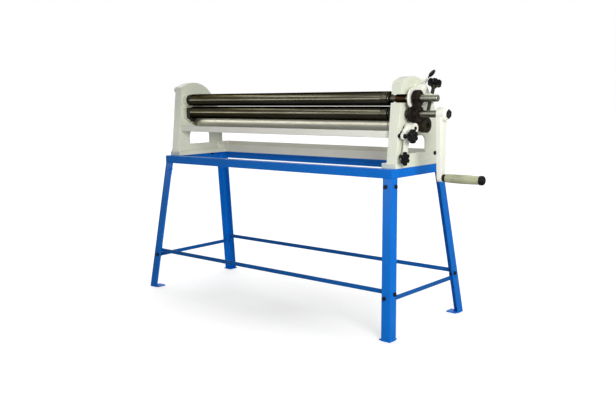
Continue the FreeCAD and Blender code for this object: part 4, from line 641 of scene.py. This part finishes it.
# Two levelling screws with a socket in the head, at the left casting's outer foot.
FOOT_X, FOOT_TOP = -0.740, 0.7520
for name, foot_y in (("front_levelling_screw", -0.164), ("rear_levelling_screw", 0.176)):
    screw_head = blank(name, 6, 0.0075, 0.0070, (FOOT_X, foot_y, FOOT_TOP))
    pick_faces(screw_head, lambda centre, normal: normal.z > 0.9)
    step_in(0.0012, (0, 0, 0.0007))
    bpy.ops.mesh.inset(thickness=0.0026, depth=0.0)
    bpy.ops.mesh.extrude_region_move(TRANSFORM_OT_translate={"value": (0, 0, -0.0025)})
    end_edit()
    soften(screw_head, 0.0004)
    screw_head.data.materials.append(black_oxide)
    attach(screw_head, "root")

# ---------------------------------------------------------------- crank
# A tapered cast arm on the lower shaft's end, held by a black hexagon bolt in a white collar, with
# a turned grip that spins on a steel spindle between a black ferrule and a black cap.

arm = made_from("crank_arm", "crank_casting", 0.0014, 3)
settle(arm, "crank_arm", white_casting)

SHAFT_Y, SHAFT_Z = -0.092, 0.959
collar = blank("crank_bolt_collar", 64, 0.0205, 0.0055, (0.94775, SHAFT_Y, SHAFT_Z), lying=True)
pick_faces(collar, lambda centre, normal: normal.x > 0.9)
step_in(0.0022, (0.0009, 0, 0))
pick_faces(collar, lambda centre, normal: normal.x < -0.9)
bpy.ops.mesh.inset(thickness=0.0040, depth=0.0)
end_edit()
soften(collar, 0.0006, 2)
settle(collar, "crank_bolt", white_casting)

HEAD_X = 0.9535
head = blank("crank_bolt_black", 6, 0.0200, 0.0050, (HEAD_X, SHAFT_Y, SHAFT_Z), lying=True)
bpy.ops.mesh.select_all(action="SELECT")
bpy.ops.transform.rotate(value=math.radians(30), orient_axis="X",
                         center_override=(HEAD_X, SHAFT_Y, SHAFT_Z))
pick_faces(head, lambda centre, normal: normal.x > 0.9)
step_in(0.0030, (0.0018, 0, 0))
step_in(0.0075, (-0.0008, 0, 0))
end_edit()
soften(head, 0.0007, 3)
settle(head, "crank_bolt", black_oxide)

spindle = made_from("grip_spindle", "grip_ferrule", 0.0008)
settle(spindle, "grip_spindle", black_oxide)
cap = made_from("grip_cap", "grip_end_cap", None)
settle(cap, "grip_cap", black_plastic)
grip_plastic = moulded("grip_plastic", (0.31, 0.32, 0.20, 1), 0.42)
grip = made_from("crank_grip", "crank_turned_grip", None)
settle(grip, "crank_grip", grip_plastic)

# ---------------------------------------------------------------- floor and light
# A white paper floor in a white room. A wide soft light comes from above, a softbox from the crank
# end, and two long strips are seen only as glints along the rolls.

bpy.ops.object.select_all(action="DESELECT")
bpy.ops.mesh.primitive_plane_add(size=60, location=(0, 0, 0))
floor = bpy.context.object
floor.name = "floor"
paper, tree, shader, place = finish("white_floor")
shader.inputs["Base Color"].default_value = (0.55, 0.55, 0.54, 1)
shader.inputs["Roughness"].default_value = 0.8
rays = add(tree, "ShaderNodeLightPath")
# The floor's glow to the camera is turned down in a broad patch round the machine: a painted shadow
# under it.
painted_shadow_place = add(tree, "ShaderNodeMapping", vector_type="TEXTURE",
           fixed={"Location": (0.1, -0.2, 0), "Scale": (2.6, 2.0, 1.0)}, joins={"Vector": place})
painted_shadow_pool = add(tree, "ShaderNodeTexGradient", gradient_type="QUADRATIC_SPHERE",
           joins={"Vector": painted_shadow_place.outputs["Vector"]})
glow_with_painted_shadow = add(tree, "ShaderNodeEmission", fixed={"Color": (1, 1, 1, 1)},
           joins={"Strength": spread(tree, painted_shadow_pool.outputs["Fac"], 0.80, 0.42)})
both = add(tree, "ShaderNodeAddShader", joins={0: shader.outputs[0], 1: glow_with_painted_shadow.outputs[0]})
pick = add(tree, "ShaderNodeMixShader",
           joins={0: rays.outputs["Is Camera Ray"], 1: shader.outputs[0], 2: both.outputs[0]})
tree.links.new(pick.outputs[0], tree.nodes["Material Output"].inputs["Surface"])
floor.data.materials.append(paper)

room = bpy.data.worlds.new("white_room")
bpy.context.scene.world = room
room.use_nodes = True
tree = room.node_tree
tree.nodes.clear()
rays = add(tree, "ShaderNodeLightPath")
direct = add(tree, "ShaderNodeMath", operation="MAXIMUM",
             joins={0: rays.outputs["Is Camera Ray"], 1: rays.outputs["Is Transmission Ray"]})
seen = add(tree, "ShaderNodeMath", operation="MAXIMUM",
           joins={0: direct.outputs[0], 1: rays.outputs["Is Glossy Ray"]})
dim = add(tree, "ShaderNodeBackground", fixed={"Color": (1, 1, 1, 1), "Strength": 0.11})
white = add(tree, "ShaderNodeBackground", fixed={"Color": (1, 1, 1, 1), "Strength": 1.0})
pick = add(tree, "ShaderNodeMixShader",
           joins={0: seen.outputs[0], 1: dim.outputs[0], 2: white.outputs[0]})
add(tree, "ShaderNodeOutputWorld", joins={"Surface": pick.outputs[0]})


def soft_lamp(name, place, aim, size, power, glints_only=False):
    """A soft rectangle of light, never seen itself, that points at one place."""
    lamp = bpy.data.lights.new(name, "AREA")
    lamp.shape = "RECTANGLE"
    lamp.size, lamp.size_y = size
    lamp.energy = power
    holder = bpy.data.objects.new(name, lamp)
    bpy.context.scene.collection.objects.link(holder)
    holder.location = place
    holder.rotation_euler = (Vector(aim) - Vector(place)).to_track_quat("-Z", "Y").to_euler()
    holder.visible_camera = False
    holder.visible_diffuse = not glints_only


soft_lamp("side_softbox", (2.9, -1.7, 1.6), (0.2, 0, 0.7), (1.3, 1.3), 80)
ROLLS_MIDDLE = (-0.3, -0.1, 1.0)
STRIP = (3.4, 0.30)
soft_lamp("high_strip", (-1.5, -0.75, 2.4), ROLLS_MIDDLE, STRIP, 26, glints_only=True)
soft_lamp("low_strip", (-1.65, -2.4, 1.15), ROLLS_MIDDLE, STRIP, 34, glints_only=True)

sky = bpy.data.lights.new("wide_overhead", "SUN")
sky.energy = 1.15
sky.angle = math.radians(28)
holder = bpy.data.objects.new("wide_overhead", sky)
bpy.context.scene.collection.objects.link(holder)
holder.rotation_euler = (math.radians(-14), math.radians(-16), 0)

# ---------------------------------------------------------------- camera
# It stands off the crank end at about the rolls' height and looks down a little along them, rolled
# by under a degree.

azimuth, drop, tilt = math.radians(40.8), math.radians(8.22), math.radians(-0.8)
back = Vector((math.sin(azimuth) * math.cos(drop), -math.cos(azimuth) * math.cos(drop),
               math.sin(drop)))
across = (-back).cross(Vector((0, 0, 1))).normalized()
upright = across.cross(-back)
level = across * math.cos(tilt) + upright * math.sin(tilt)
raised = upright * math.cos(tilt) - across * math.sin(tilt)
view = bpy.data.cameras.new("view")
view.lens = 45.15
camera = bpy.data.objects.new("view", view)
bpy.context.scene.collection.objects.link(camera)
stand = Matrix.Translation((2.614, -2.918, 1.050))
camera.matrix_world = stand @ Matrix((level, raised, back)).transposed().to_4x4()
bpy.context.scene.camera = camera
bpy.context.scene.view_settings.view_transform = "Standard"
